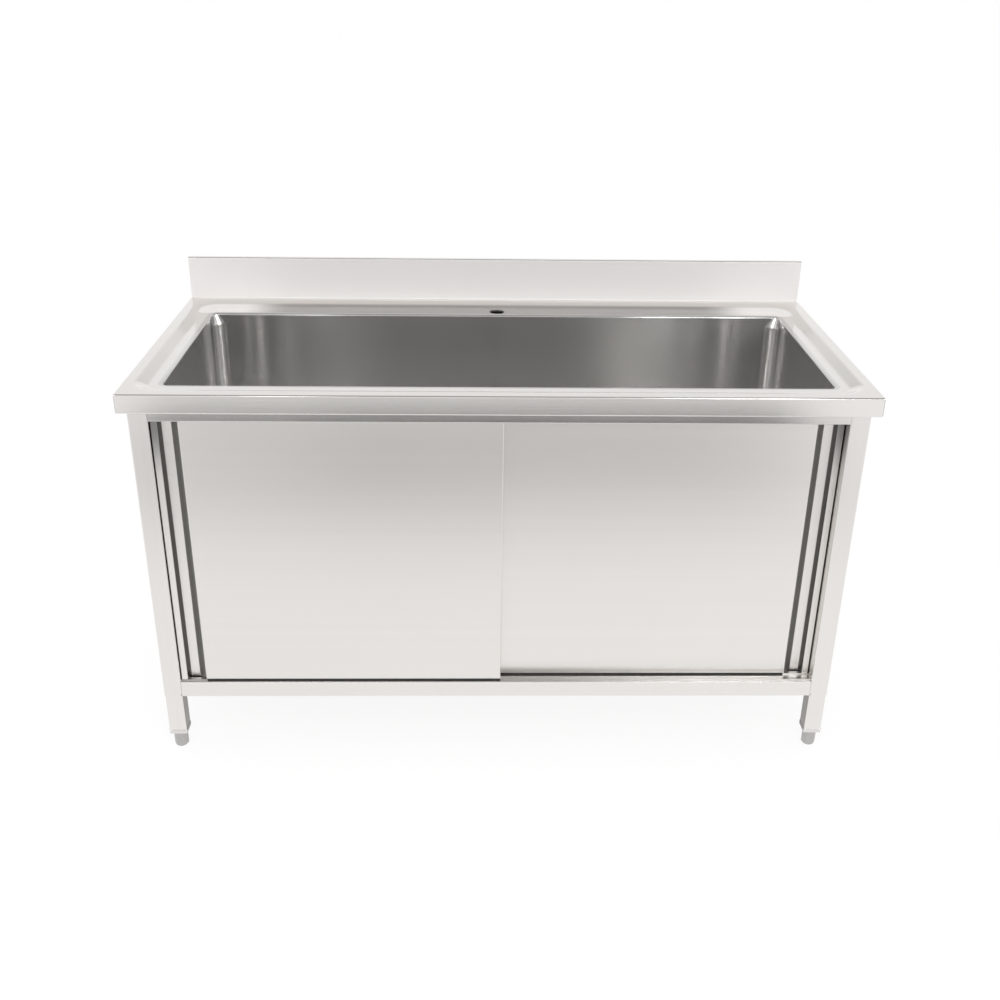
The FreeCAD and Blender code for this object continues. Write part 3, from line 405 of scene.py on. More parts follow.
def colour_mix(tree: Tree, factor: Socket, low: Colour | Socket, high: Colour) -> Socket:
    """Mix two colours by a value.

    Args:
        tree: The node tree.
        factor: The value between 0 and 1.
        low: Colour, or a colour's socket, at 0.
        high: Colour at 1.

    Returns:
        The colour's socket.
    """
    node = add_node(tree, "Mix", data_type="RGBA")
    tree.links.new(factor, node.inputs["Factor"])
    feed(tree, low if isinstance(low, Socket) else (*low, 1.0), node.inputs["A"])
    node.inputs["B"].default_value = (*high, 1.0)
    return node.outputs["Result"]


def add_bump(tree: Tree, surface: Node, height: Socket, strength: float) -> None:
    """Raise a surface's relief from a height.

    Args:
        tree: The material's node tree.
        surface: The Principled BSDF.
        height: The height's socket.
        strength: Strength of the relief.
    """
    bump = add_node(tree, "Bump")
    bump.inputs["Strength"].default_value = strength
    bump.inputs["Distance"].default_value = MILLIMETRE
    tree.links.new(height, bump.inputs["Height"])
    tree.links.new(bump.outputs["Normal"], surface.inputs["Normal"])


@dataclass(frozen=True)
class BrushedSteel:
    """Stainless sheet brushed one way, with faint clouds from rolling and wiping."""

    name: str
    run: GrainRun
    tone: Colour = (0.80, 0.777, 0.752)
    tone_swing: float = 0.03
    roughness: float = 0.30
    roughness_swing: float = 0.05
    stretch: float = 0.0
    grain_pitch: float = 900.0
    grain_depth: float = 0.02
    cloud_scale: float = 3.0
    tone_by_band: float = 0.55
    rough_by_grain: float = 0.5

    def make(self, kit: ShaderKit) -> Material:
        """Build the material.

        Args:
            kit: The shader groups.

        Returns:
            The material.
        """
        material, tree, surface = blank_material(self.name)
        surface.inputs["Metallic"].default_value = 1.0
        surface.inputs["Anisotropic"].default_value = self.stretch
        turn = 0.0 if self.run is GrainRun.UPRIGHT else QUARTER_TURN
        surface.inputs["Anisotropic Rotation"].default_value = turn
        grain = kit.place(tree, kit.grain, {**self.across(), "Pitch": self.grain_pitch})
        clouds = kit.place(tree, kit.handling, {"Scale": self.cloud_scale}).outputs["Clouds"]
        tree.links.new(self.colour(tree, grain, clouds), surface.inputs["Base Color"])
        tree.links.new(self.rough(tree, grain, clouds), surface.inputs["Roughness"])
        add_bump(tree, surface, grain.outputs["Streaks"], self.grain_depth)
        self.finish(kit, tree, surface)
        return material

    def across(self) -> dict[str, float]:
        """Return how fast the grain changes along each axis."""
        return dict(zip(("Across X", "Across Y", "Across Z"), self.run.value))

    def colour(self, tree: Tree, grain: Node, clouds: Socket) -> Socket:
        """Make the steel's colour, a little darker and lighter in bands and clouds.

        Args:
            tree: The material's node tree.
            grain: The grain's node.
            clouds: The clouds' socket.

        Returns:
            The colour's socket.
        """
        bands = product(tree, grain.outputs["Bands"], self.tone_by_band)
        blend = math_node(tree, "ADD", bands, product(tree, clouds, 1.0 - self.tone_by_band))
        dark = tuple(channel - self.tone_swing for channel in self.tone)
        light = tuple(channel + self.tone_swing for channel in self.tone)
        return colour_mix(tree, blend, dark, light)

    def rough(self, tree: Tree, grain: Node, clouds: Socket) -> Socket:
        """Make the steel's roughness, which follows the grain and the clouds.

        Args:
            tree: The material's node tree.
            grain: The grain's node.
            clouds: The clouds' socket.

        Returns:
            The roughness's socket.
        """
        streaks = product(tree, grain.outputs["Streaks"], self.rough_by_grain)
        blend = math_node(tree, "ADD", streaks, product(tree, clouds, 1.0 - self.rough_by_grain))
        return swing(tree, blend, self.roughness, self.roughness_swing)

    def finish(self, kit: ShaderKit, tree: Tree, surface: Node) -> None:
        """Leave the steel as it is. A kind of steel that differs in places changes this."""


@dataclass(frozen=True)
class DeckSteel(BrushedSteel):
    """Deck sheet with painted reflections on its upstand's face and on the recess's rear strip.

    The upstand's face is pale matt and not metal, and the strip is darker with white ends; both are
    painted reflections of what these faces mirror from the front. The strip's mask is open
    outwards, so it also covers the skirt behind strip_behind and below strip_below.
    """

    # Upstand's face: pale, matt and not metal, a painted reflection.
    upstand_above: float = 0.8506
    upstand_behind: float = 0.3315
    upstand_below: float = 0.9482
    upstand_painted_reflection: Colour = (0.89, 0.865, 0.855)
    upstand_metal: float = 0.0
    upstand_roughness: float = 0.9
    # Recess's rear strip: darker tone with white ends, painted reflections.
    strip_behind: float = 0.232
    strip_below: float = 0.8455
    strip_softness: float = 0.002
    strip_painted_reflection: Colour = (0.43, 0.425, 0.415)
    strip_end: float = 0.56
    strip_end_softness: float = 0.06
    strip_end_painted_reflection: Colour = (1.0, 1.0, 0.99)

    def finish(self, kit: ShaderKit, tree: Tree, surface: Node) -> None:
        """Paint reflections as tones on the upstand's face, the recess's rear strip and the strip's
        two ends.

        Args:
            kit: The shader groups.
            tree: The material's node tree.
            surface: The Principled BSDF.
        """
        # Upstand's face: painted reflection as a pale matt non-metal tone.
        upstand_painted_mask: Value = 1.0
        bounds = (
            ("Z", 1.0, self.upstand_above),
            ("Y", 1.0, self.upstand_behind),
            ("Z", -1.0, -self.upstand_below),
        )
        for way, along, level in bounds:
            upstand_painted_mask = product(tree, kit.beyond(tree, way, along, level), upstand_painted_mask)
        # Recess's rear strip and its white ends: painted reflections.
        behind = kit.beyond(tree, "Y", 1.0, self.strip_behind)
        below = kit.beyond(tree, "Z", -1.0, -self.strip_below, self.strip_softness)
        strip = product(tree, below, behind)
        left, right = (
            kit.beyond(tree, "X", float(side), self.strip_end, self.strip_end_softness)
            for side in Side
        )
        ends = product(tree, math_node(tree, "MAXIMUM", left, right), strip)
        base, rough = surface.inputs["Base Color"], surface.inputs["Roughness"]
        steel = colour_mix(tree, strip, feeding(base), self.strip_painted_reflection)
        steel = colour_mix(tree, ends, steel, self.strip_end_painted_reflection)
        tree.links.new(colour_mix(tree, upstand_painted_mask, steel, self.upstand_painted_reflection), base)
        metal = spread(tree, upstand_painted_mask, 1.0, self.upstand_metal)
        tree.links.new(metal, surface.inputs["Metallic"])
        gain = product(tree, upstand_painted_mask, self.upstand_roughness - self.roughness)
        tree.links.new(math_node(tree, "ADD", feeding(rough), gain), rough)


@dataclass(frozen=True)
class DoorSteel(BrushedSteel):
    """Door sheet with dark painted reflections on its groove's walls and high on the lip beside it.

    The tones are painted reflections of what these faces mirror from the front.
    """

    inner_wall: tuple[float, float] = (0.6385, 0.6530)
    outer_wall: tuple[float, float] = (0.6727, 0.6785)
    inner_wall_painted_reflection: Colour = (0.38, 0.38, 0.365)
    outer_wall_painted_reflection: Colour = (0.13, 0.125, 0.12)
    lip_painted_reflection: Colour = (0.27, 0.268, 0.262)
    lip_above: float = 0.715
    lip_softness: float = 0.065
    softness: float = 0.0008

    def finish(self, kit: ShaderKit, tree: Tree, surface: Node) -> None:
        """Paint dark reflections on the groove's walls and the top of its outer lip on either door.

        Args:
            kit: The shader groups.
            tree: The material's node tree.
            surface: The Principled BSDF.
        """
        colour = feeding(surface.inputs["Base Color"])
        # Groove walls: dark painted reflections.
        walls = ((self.inner_wall, self.inner_wall_painted_reflection), (self.outer_wall, self.outer_wall_painted_reflection))
        for (low, high), tone in walls:
            for side in Side:
                past_low = kit.beyond(tree, "X", float(side), low, self.softness)
                past_high = kit.beyond(tree, "X", -float(side), -high, self.softness)
                colour = colour_mix(tree, product(tree, past_low, past_high), colour, tone)
        # Top of the outer lip: dark painted reflection.
        high_up = kit.beyond(tree, "Z", 1.0, self.lip_above, self.lip_softness)
        for side in Side:
            outside = kit.beyond(tree, "X", float(side), self.outer_wall[1], self.softness)
            colour = colour_mix(tree, product(tree, outside, high_up), colour, self.lip_painted_reflection)
        tree.links.new(colour, surface.inputs["Base Color"])


@dataclass(frozen=True)
class ThreadedSteel(BrushedSteel):
    """Turned steel with a screw thread over a span of its height."""

    thread_pitch: float = 0.0015
    thread_bottom: float = 0.0
    thread_top: float = 0.1
    thread_depth: float = 0.5
    grain_share: float = 0.1

    def finish(self, kit: ShaderKit, tree: Tree, surface: Node) -> None:
        """Add the thread to the relief.

        Args:
            kit: The shader groups.
            tree: The material's node tree.
            surface: The Principled BSDF.
        """
        values = {"Pitch": self.thread_pitch, "Bottom": self.thread_bottom, "Top": self.thread_top}
        ridges = kit.place(tree, kit.thread, values).outputs["Ridges"]
        bump = feeding(surface.inputs["Normal"]).node
        grain = product(tree, feeding(bump.inputs["Height"]), self.grain_share)
        height = math_node(tree, "ADD", grain, ridges)
        tree.links.new(height, bump.inputs["Height"])
        bump.inputs["Strength"].default_value = self.thread_depth


@dataclass(frozen=True)
class Moulded:
    """Moulded plastic or rubber with a fine leathery skin."""

    name: str
    tone: Colour
    shade: float = 0.85
    roughness: float = 0.45
    roughness_swing: float = 0.06
    skin_pitch: float = 500.0
    skin_depth: float = 0.05
    cloud_scale: float = 30.0

    def make(self, kit: ShaderKit) -> Material:
        """Build the material.

        Args:
            kit: The shader groups.

        Returns:
            The material.
        """
        material, tree, surface = blank_material(self.name)
        skin = kit.place(tree, kit.handling, {"Scale": self.skin_pitch}).outputs["Clouds"]
        clouds = kit.place(tree, kit.handling, {"Scale": self.cloud_scale}).outputs["Clouds"]
        dark = tuple(channel * self.shade for channel in self.tone)
        tree.links.new(colour_mix(tree, clouds, dark, self.tone), surface.inputs["Base Color"])
        rough = swing(tree, skin, self.roughness, self.roughness_swing)
        tree.links.new(rough, surface.inputs["Roughness"])
        add_bump(tree, surface, skin, self.skin_depth)
        return material


@dataclass(frozen=True)
class WeldSteel(BrushedSteel):
    """Bare weld metal with straw and blue heat tint."""

    tint: Colour = (0.20, 0.17, 0.15)

    def colour(self, tree: Tree, grain: Node, clouds: Socket) -> Socket:
        """Return the weld's colour, tinted in clouds, whatever its grain."""
        return colour_mix(tree, clouds, self.tone, self.tint)


Finish = BrushedSteel | Moulded


@dataclass
class Finishes:
    """Every finish of the unit, built on first use."""

    kit: ShaderKit
    made: dict[str, Material] = field(default_factory=dict)

    def get(self, finish: Finish) -> Material:
        """Find a finish's material, and build it on first use.

        Args:
            finish: The finish.

        Returns:
            The material.
        """
        if finish.name not in self.made:
            self.made[finish.name] = finish.make(self.kit)
        return self.made[finish.name]


DECK_STEEL = DeckSteel("deck_steel", GrainRun.ALONG_X, roughness=0.17, roughness_swing=0.03)
# Bowl's tone is darker than the deck's: painted reflection of the dark surroundings it mirrors.
BOWL_STEEL = BrushedSteel(
    "bowl_steel",
    GrainRun.ALONG_X,
    tone=(0.672, 0.665, 0.655),
    roughness=0.16,
    roughness_swing=0.01,
    stretch=1.0,
    grain_pitch=700.0,
    grain_depth=0.003,
)
PANEL_STEEL = BrushedSteel("panel_steel", GrainRun.UPRIGHT, roughness=0.32)
SHELF_STEEL = BrushedSteel("shelf_steel", GrainRun.ALONG_X, roughness=0.26)
# Fascia's tone is darker than the other sheets': painted shade under the deck's overhang.
FASCIA_STEEL = BrushedSteel(
    "fascia_steel", GrainRun.ALONG_X, tone=(0.70, 0.68, 0.66), roughness=0.16
)
DOOR_STEEL = DoorSteel("door_steel", GrainRun.ALONG_X, roughness=0.33, cloud_scale=2.0)
LEG_STEEL = BrushedSteel("leg_steel", GrainRun.UPRIGHT, roughness=0.25, cloud_scale=14.0)
RIB_STEEL = BrushedSteel("guide_rib_steel", GrainRun.ALONG_X, tone=(0.5, 0.49, 0.48), roughness=0.3)
TRACK_STEEL = BrushedSteel("track_steel", GrainRun.ALONG_X, tone=(0.6, 0.59, 0.58), roughness=0.38)
FITTING_STEEL = BrushedSteel(
    "fitting_steel", GrainRun.TUMBLED, tone=(0.8, 0.79, 0.78), roughness=0.16
)
CUP_STEEL = ThreadedSteel(
    "strainer_steel",
    GrainRun.TUMBLED,
    tone=(0.78, 0.77, 0.76),
    roughness=0.2,
    thread_pitch=0.003,
    thread_bottom=0.4755,
    thread_top=0.5265,
)
CAP_METAL = BrushedSteel("cap_metal", GrainRun.TUMBLED, tone=(0.72, 0.71, 0.70), roughness=0.2)
FOOT_METAL = ThreadedSteel(
    "foot_metal",
    GrainRun.TUMBLED,
    tone=(0.48, 0.47, 0.46),
    tone_swing=0.08,
    roughness=0.42,
    cloud_scale=90.0,
    thread_bottom=0.0405,
    thread_top=0.084,
)
WELD_METAL = WeldSteel(
    "weld_metal", GrainRun.TUMBLED, tone=(0.62, 0.6, 0.57), roughness=0.34, cloud_scale=160.0
)
NYLON = Moulded("white_nylon", (0.82, 0.82, 0.79))
NUT_PLASTIC = Moulded("nut_plastic", (0.05, 0.05, 0.055))
BLACK_RUBBER = Moulded("black_rubber", (0.02, 0.02, 0.02), roughness=0.6)


# ---------------------------------------------------------------------------
# Sub-assemblies


def settle(name: str, form: Form, material: Material) -> Thing:
    """Turn a finished form into an object of the scene.

    Args:
        name: The object's name.
        form: The form, which is freed.
        material: The object's material.

    Returns:
        The object.
    """
    mesh = bpy.data.meshes.new(name)
    form.to_mesh(mesh)
    form.free()
    mesh.materials.append(material)
    thing = bpy.data.objects.new(name, mesh)
    bpy.context.scene.collection.objects.link(thing)
    return thing


@dataclass
class SubAssembly:
    """Some CAD nodes and new pieces of the unit that belong together."""

    nodes: dict[str, Thing]
    finishes: Finishes

    def build(self) -> None:
        """Dress the nodes and make the new pieces. Each kind of sub-assembly has its own."""
        raise NotImplementedError

    def dress(self, finish: Finish, *names: str) -> None:
        """Give CAD nodes a finish.

        Args:
            finish: The finish.
            names: The nodes' names.
        """
        for name in names:
            for slot in self.nodes[name].material_slots:
                slot.material = self.finishes.get(finish)
            LOG.info("%s: node %s in %s", type(self).__name__, name, finish.name)

    def keep(self, name: str, form: Form, finish: Finish, body: str, slot: str) -> Thing:
        """Turn a finished form into a piece that rides on a body.

        Args:
            name: The piece's name.
            form: The form, which is freed.
            finish: The piece's finish.
            body: The CAD body that carries it.
            slot: The record's material slot. Not used.

        Returns:
            The piece.
        """
        bmesh.ops.recalc_face_normals(form, faces=form.faces)
        piece = settle(name, form, self.finishes.get(finish))
        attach(piece, body)
        group = type(self).__name__
        LOG.info("%s: piece %s, %d faces, on %s", group, name, len(piece.data.polygons), body)
        return piece


def weld_bead(form: Form, middle: Vector, half: Vector) -> None:
    """Add one rounded weld bead to a form.

    Args:
        form: The form that gets the bead.
        middle: The bead's middle.
        half: Half of its size along X, Y and Z.
    """
    made = bmesh.ops.create_icosphere(form, subdivisions=2, radius=1.0)
    bmesh.ops.scale(form, vec=half, verts=made["verts"])
    bmesh.ops.translate(form, vec=middle, verts=made["verts"])


@dataclass
class Deck(SubAssembly):
    """Deck, upstand and what stiffens them."""

    def build(self) -> None:
        """Dress the deck."""
        self.dress(DECK_STEEL, "deck_top", "upstand_end_left", "upstand_end_right")
        self.dress(TRACK_STEEL, "tap_plate", "deck_stiffener_left", "deck_stiffener_right")


@dataclass
class Bowl(SubAssembly):
    """Deep bowl, tacked to the deck from below."""

    tack_spacing: float = 0.11
    tack_half: tuple[float, float, float] = (0.008, 0.0022, 0.0014)
    tack_inset: float = 0.0012

    def build(self) -> None:
        """Dress the bowl and tack its flange to the deck."""
        self.dress(BOWL_STEEL, "bowl")
        self.make_tacks()

    def make_tacks(self) -> None:
        """Short weld beads under the deck, along the long edges of the bowl's flange."""
        low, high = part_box("bowl")
        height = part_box("tap_plate")[1].z - self.tack_half[2] / 2
        form = bmesh.new()
        count = int((high.x - low.x) / self.tack_spacing)
        for number in range(count):
            along = low.x + (number + 0.5) * (high.x - low.x) / count
            for edge, way in ((low.y, -1), (high.y, 1)):
                if way > 0 and abs(along) < self.tack_spacing:
                    continue
                middle = Vector((along, edge + way * self.tack_inset, height))
                weld_bead(form, middle, Vector(self.tack_half))
        self.keep("bowl_flange_tacks", form, WELD_METAL, "cabinet", "bowl_steel")


@dataclass
class Waste(SubAssembly):
    """Strainer, its basket, nuts and tailpiece."""

    thread_pitch: float = 0.003
    thread_height: float = 0.0011
    thread_half_width: float = 0.0009
    turn_steps: int = 48
    thread_gap: float = 0.003
    thread_sunk: float = 0.0002
    cup_radius: float = 0.0435

    def build(self) -> None:
        """Dress the fitting and cut the thread of its cup."""
        self.dress(CUP_STEEL, "strainer_body")
        self.dress(FITTING_STEEL, "strainer_basket", "basket_knob", "tailpiece")
        self.dress(NUT_PLASTIC, "strainer_lock_nut", "tailpiece_nut")
        self.dress(BLACK_RUBBER, "basket_seal", "strainer_upper_gasket", "strainer_lower_gasket")
        self.make_thread()

    def make_thread(self) -> None:
        """Coarse thread on the cup below its lock nut."""
        low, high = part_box("strainer_basket")
        depth = (low.y + high.y) / 2
        nut_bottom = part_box("strainer_lock_nut")[0].z
        cup_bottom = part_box("basket_seal")[0].z
        radius = (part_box("strainer_upper_gasket")[1].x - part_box("strainer_upper_gasket")[0].x) / 2
        radius = min(radius, self.cup_radius)
        start = cup_bottom + self.thread_gap
        turns = (nut_bottom - self.thread_gap - start) / self.thread_pitch
        root, crest = radius - self.thread_sunk, radius + self.thread_height
        half = self.thread_half_width
        form = bmesh.new()
        section = [
            form.verts.new((reach, depth, start + rise))
            for reach, rise in ((root, -half), (crest, 0.0), (root, half))
        ]
        face = form.faces.new(section)
        bmesh.ops.spin(
            form,
            geom=[face],
            cent=(0.0, depth, start),
            axis=(0.0, 0.0, 1.0),
            dvec=(0.0, 0.0, self.thread_pitch / self.turn_steps),
            angle=math.tau * turns,
            steps=round(self.turn_steps * turns),
            use_duplicate=False,
        )
        self.keep("strainer_thread", form, FITTING_STEEL, "cabinet", "fitting_steel")


@dataclass
class Leg(SubAssembly):
    """One leg with its cap and its adjustable foot."""

    corner: Corner = Corner.FRONT_LEFT

    def build(self) -> None:
        """Dress the leg."""
        name = self.corner.name.lower()
        self.dress(LEG_STEEL, "leg_" + name)
        self.dress(CAP_METAL, "leg_cap_" + name)
        self.dress(FOOT_METAL, "foot_" + name)


@dataclass
class Cabinet(SubAssembly):
    """Side and back panels, the shelf, and the welds that join them to the legs."""

    weld_half: tuple[float, float, float] = (0.0030, 0.0016, 0.0022)
    beads: tuple[tuple[float, float, float], ...] = ((0.0012, 0.0012, 1.0), (0.0040, 0.0004, 0.7))
    """Lift, way out and scale of each bead."""

    def build(self) -> None:
        """Dress the sheets and weld the shelf to the posts."""
        self.dress(PANEL_STEEL, "side_panel_left", "side_panel_right", "back_panel")
        self.dress(SHELF_STEEL, "base_shelf", "shelf_stiffener")
        self.dress(FITTING_STEEL, "panel_rivets")
        self.make_notch_welds()

    def make_notch_welds(self) -> None:
        """Rough beads in the notch of each front post, where the shelf meets the leg."""
        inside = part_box("back_panel")[1].x
        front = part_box("side_panel_left")[0].y
        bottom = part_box("base_shelf")[0].z
        form = bmesh.new()
        for side in Side:
            for lift, out, scale in self.beads:
                middle = Vector((side * (inside + out), front + self.weld_half[1], bottom + lift))
                weld_bead(form, middle, scale * Vector(self.weld_half))
        self.keep("notch_welds", form, WELD_METAL, "cabinet", "panel_steel")


@dataclass
class DoorGear(SubAssembly):
    """Fascia, rails, tracks, guide ribs and stops of the sliding doors."""

    def build(self) -> None:
        """Dress the gear."""
        self.dress(FASCIA_STEEL, "front_fascia")
        self.dress(TRACK_STEEL, "top_rail", "front_door_track", "rear_door_track")
        self.dress(RIB_STEEL, "guide_rib_front", "guide_rib_middle", "guide_rib_rear")
        self.dress(BLACK_RUBBER, "track_stops")


@dataclass
class Door(SubAssembly):
    """One sliding door with its hangers, wheels, shoes and the black seal along its foot.
    The seal's black is also painted shade of the gap under the door.
    """

    side: Side = Side.LEFT
    seal_depth: float = 0.0008
    seal_cover: float = 0.0008
    seal_gap: float = 0.0004
    seal_end: float = 0.056

    def build(self) -> None:
        """Dress the door and add the black seal, also painted gap shade, along its foot."""
        body = self.side.name.lower() + "_door"
        name = body + "_"
        self.make_seal_and_gap_shade(name, body)
        self.dress(DOOR_STEEL, name + "skin", name + "liner")
        self.dress(TRACK_STEEL, name + "stiffener", name + "hangers")
        self.dress(FITTING_STEEL, name + "axles")
        self.dress(NYLON, name + "outer_wheel", name + "inner_wheel", name + "shoes")

    def make_seal_and_gap_shade(self, name: str, body: str) -> None:
        """Thin black strip on the face of the door's foot, from its groove to its free edge: a rubber
        seal whose black also paints the shade of the gap under the door.

        Args:
            name: The start of the names of the door's nodes.
            body: The door's body.
        """
        low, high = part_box(name + "skin")
        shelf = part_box("base_shelf")[1].z
        left, right = low.x, high.x
        if self.side is Side.LEFT:
            left += self.seal_end
        else:
            right -= self.seal_end
        form = bmesh.new()
        bmesh.ops.create_cube(form, size=1.0)
        bottom, top = shelf + self.seal_gap, low.z + self.seal_cover
        bmesh.ops.scale(form, vec=(right - left, self.seal_depth, top - bottom), verts=form.verts)
        middle = Vector(((left + right) / 2, low.y - self.seal_depth / 2, (bottom + top) / 2))
        bmesh.ops.translate(form, vec=middle, verts=form.verts)
        # The black strip is a rubber seal and also painted shade of the gap under the door.
        self.keep(body + "_foot_seal_and_gap_shade", form, BLACK_RUBBER, body, "rubber_black")


# ---------------------------------------------------------------------------
# Studio


@dataclass(frozen=True)
class Fade:
    """How the white surroundings dim with height, where 0 is level and 1 is overhead."""

    start: float
    full: float
    level: float


@dataclass(frozen=True)
class Mat:
    """Dark soft-edged mat on the floor."""

    across: tuple[float, float]
    cover: float
    """Share of the floor that the mat hides."""
    along: tuple[float, float] = (-2.54, -1.66)
    softness: float = 0.15
    level: float = 0.05


@dataclass
class Studio:
    """Pale floor, white surroundings with soft strip lights, and the camera."""

    floor_reach: float = 60.0
    floor_tone: float = 0.8
    floor_seen_tone: float = 0.16
    world_level: float = 0.8
    fill_place: tuple[float, float, float] = (0.0, -4.5, 3.6)
    fill_size: float = 4.0
    fill_power: float = 80.0
    floor_light: float = 0.83
    front_fade: Fade = Fade(0.34, 0.80, 0.35)
    rear_fade: Fade = Fade(0.30, 0.62, 0.45)
    rear_blend: float = 0.25
    mats: tuple[Mat, ...] = (
        Mat((-1.31, 1.20), 0.9, along=(-2.48, -1.66), softness=0.06),
        Mat((-0.62, 1.08), 0.95, along=(-2.47, -1.7), softness=0.1),
        # Mat under the unit: painted shadow of the unit on the floor, as reflections see it.
        Mat((-0.70, 0.70), 0.65, along=(-0.29, 0.33), softness=0.04),
        Mat((-6.0, 6.0), 0.45, along=(1.2, 9.0), softness=0.5, level=0.3),
        Mat((-9.0, -2.4), 0.45, along=(-3.0, 0.7), softness=0.5, level=0.3),
        Mat((2.4, 9.0), 0.45, along=(-3.0, 0.7), softness=0.5, level=0.3),
        Mat((-6.0, 6.0), 0.45, along=(-14.0, -5.0), softness=1.0, level=0.3),
    )
    strips: tuple[tuple[float, float, float], ...] = (
        (0.82, 0.15, 8.5),
        (1.15, 0.12, 8.5),
        (-0.79, 0.14, 3.5),
        (2.7, 1.2, 14.0),
        (-2.7, 1.2, 14.0),
    )
    """Middle along X, width and brightness of each strip light."""
    strip_front: float = -2.2
    strip_span: tuple[float, float] = (1.15, 2.6)
    view_reach: float = 200.0
    camera_place: tuple[float, float, float] = (-0.0569, -2.4553, 1.6324)
    camera_pitch: float = -0.44484
    camera_yaw: float = -0.02618
    camera_roll: float = -0.01416
    focal_pixels: float = 1155.8
    frame_pixels: float = 1000.0
    sensor: float = 36.0

    def build(self) -> None:
        """Build the whole studio."""
        self.make_world()
        self.make_floor()
        for number, mat in enumerate(self.mats):
            self.make_mat("floor_mat_%d" % number, mat, (number + 2) * MILLIMETRE)
        for number, (place, width, level) in enumerate(self.strips):
            self.make_strip("strip_light_%d" % number, place, width, level)
        self.make_fill()
        self.make_camera()
        bpy.context.scene.view_settings.view_transform = "Standard"
        counts = len(self.mats), len(self.strips)
        LOG.info("studio: floor, %d mats, %d strip lights, fill and camera", *counts)

    def make_world(self) -> None:
        """White surroundings for what is seen, dimmer overhead in reflections."""
        world = bpy.data.worlds.new("studio")
        bpy.context.scene.world = world
        world.use_nodes = True
        tree = world.node_tree
        background = tree.nodes["Background"]
        background.inputs["Color"].default_value = (1.0, 1.0, 1.0, 1.0)
        path = add_node(tree, "LightPath")
        coordinates = add_node(tree, "TexCoord")
        split = add_node(tree, "SeparateXYZ")
        tree.links.new(coordinates.outputs["Generated"], split.inputs[0])
        front, rear = (
            add_ramp(tree, split.outputs["Z"], fade.start, fade.full, 1.0, fade.level)
            for fade in (self.front_fade, self.rear_fade)
        )
        behind = add_ramp(tree, split.outputs["Y"], -self.rear_blend, self.rear_blend)
        around = self.pick(tree, behind, front, rear)
        lit = self.pick(tree, self.mirrored(tree, path), self.world_level, around)
        seen = self.pick(tree, path.outputs["Is Camera Ray"], lit, 1.0)
        tree.links.new(seen, background.inputs["Strength"])

    def pick(self, tree: Tree, choice: Socket, off: Value, on: Value) -> Socket:
        """Return one value where a choice is 0 and another where it is 1.

        Args:
            tree: The node tree.
            choice: The socket that is 0 or 1.
            off: The value at 0.
            on: The value at 1.

        Returns:
            The result's socket.
        """
        node = add_node(tree, "Mix", data_type="FLOAT")
        tree.links.new(choice, node.inputs["Factor"])
        feed(tree, off, node.inputs["A"])
        feed(tree, on, node.inputs["B"])
        return node.outputs["Result"]

    def mirrored(self, tree: Tree, path: Node) -> Socket:
        """Return the mask of reflected and refracted rays from a Light Path node."""
        glossy, through = path.outputs["Is Glossy Ray"], path.outputs["Is Transmission Ray"]
        return math_node(tree, "MAXIMUM", glossy, through)

    def stage_material(self, name: str) -> tuple[Material, Tree, Socket]:
        """Make a material without a shader.

        Args:
            name: The material's name.

        Returns:
            The material, its tree and the input that takes its shader.
        """
        material, tree, shader = blank_material(name)
        tree.nodes.remove(shader)
        return material, tree, tree.nodes["Material Output"].inputs["Surface"]

    def sheet(self, width: float, depth: float) -> Form:
        """Make a level sheet around the origin.

        Args:
            width: Its size along X.
            depth: Its size along Y.

        Returns:
            The form.
        """
        form = bmesh.new()
        bmesh.ops.create_grid(form, x_segments=1, y_segments=1, size=0.5)
        bmesh.ops.scale(form, vec=(width, depth, 1.0), verts=form.verts)
        return form

    def keep_stage(self, name: str, form: Form, material: Material) -> Thing:
        """Turn a form into an object of the studio.

        Args:
            name: The object's name.
            form: The form, which is freed.
            material: Its material.

        Returns:
            The object.
        """
        thing = settle(name, form, material)
        return thing

    def make_floor(self) -> None:
        """Pale floor that keeps the unit's soft shadow."""
        material, tree, surface = self.stage_material("floor_paper")
        path = add_node(tree, "LightPath")
        seen = math_node(tree, "MAXIMUM", path.outputs["Is Camera Ray"], self.mirrored(tree, path))
        paper = add_node(tree, "BsdfDiffuse")
        tone = self.pick(tree, seen, self.floor_tone, self.floor_seen_tone)
        tree.links.new(tone, paper.inputs["Color"])
        glow = add_node(tree, "Emission")
        lift = self.pick(tree, seen, 0.0, 1.0 - self.floor_seen_tone * self.floor_light)
        tree.links.new(lift, glow.inputs["Strength"])
        both = add_node(tree, "AddShader")
        tree.links.new(paper.outputs[0], both.inputs[0])
        tree.links.new(glow.outputs[0], both.inputs[1])
        tree.links.new(both.outputs[0], surface)
        self.keep_stage("floor", self.sheet(2 * self.floor_reach, 2 * self.floor_reach), material)

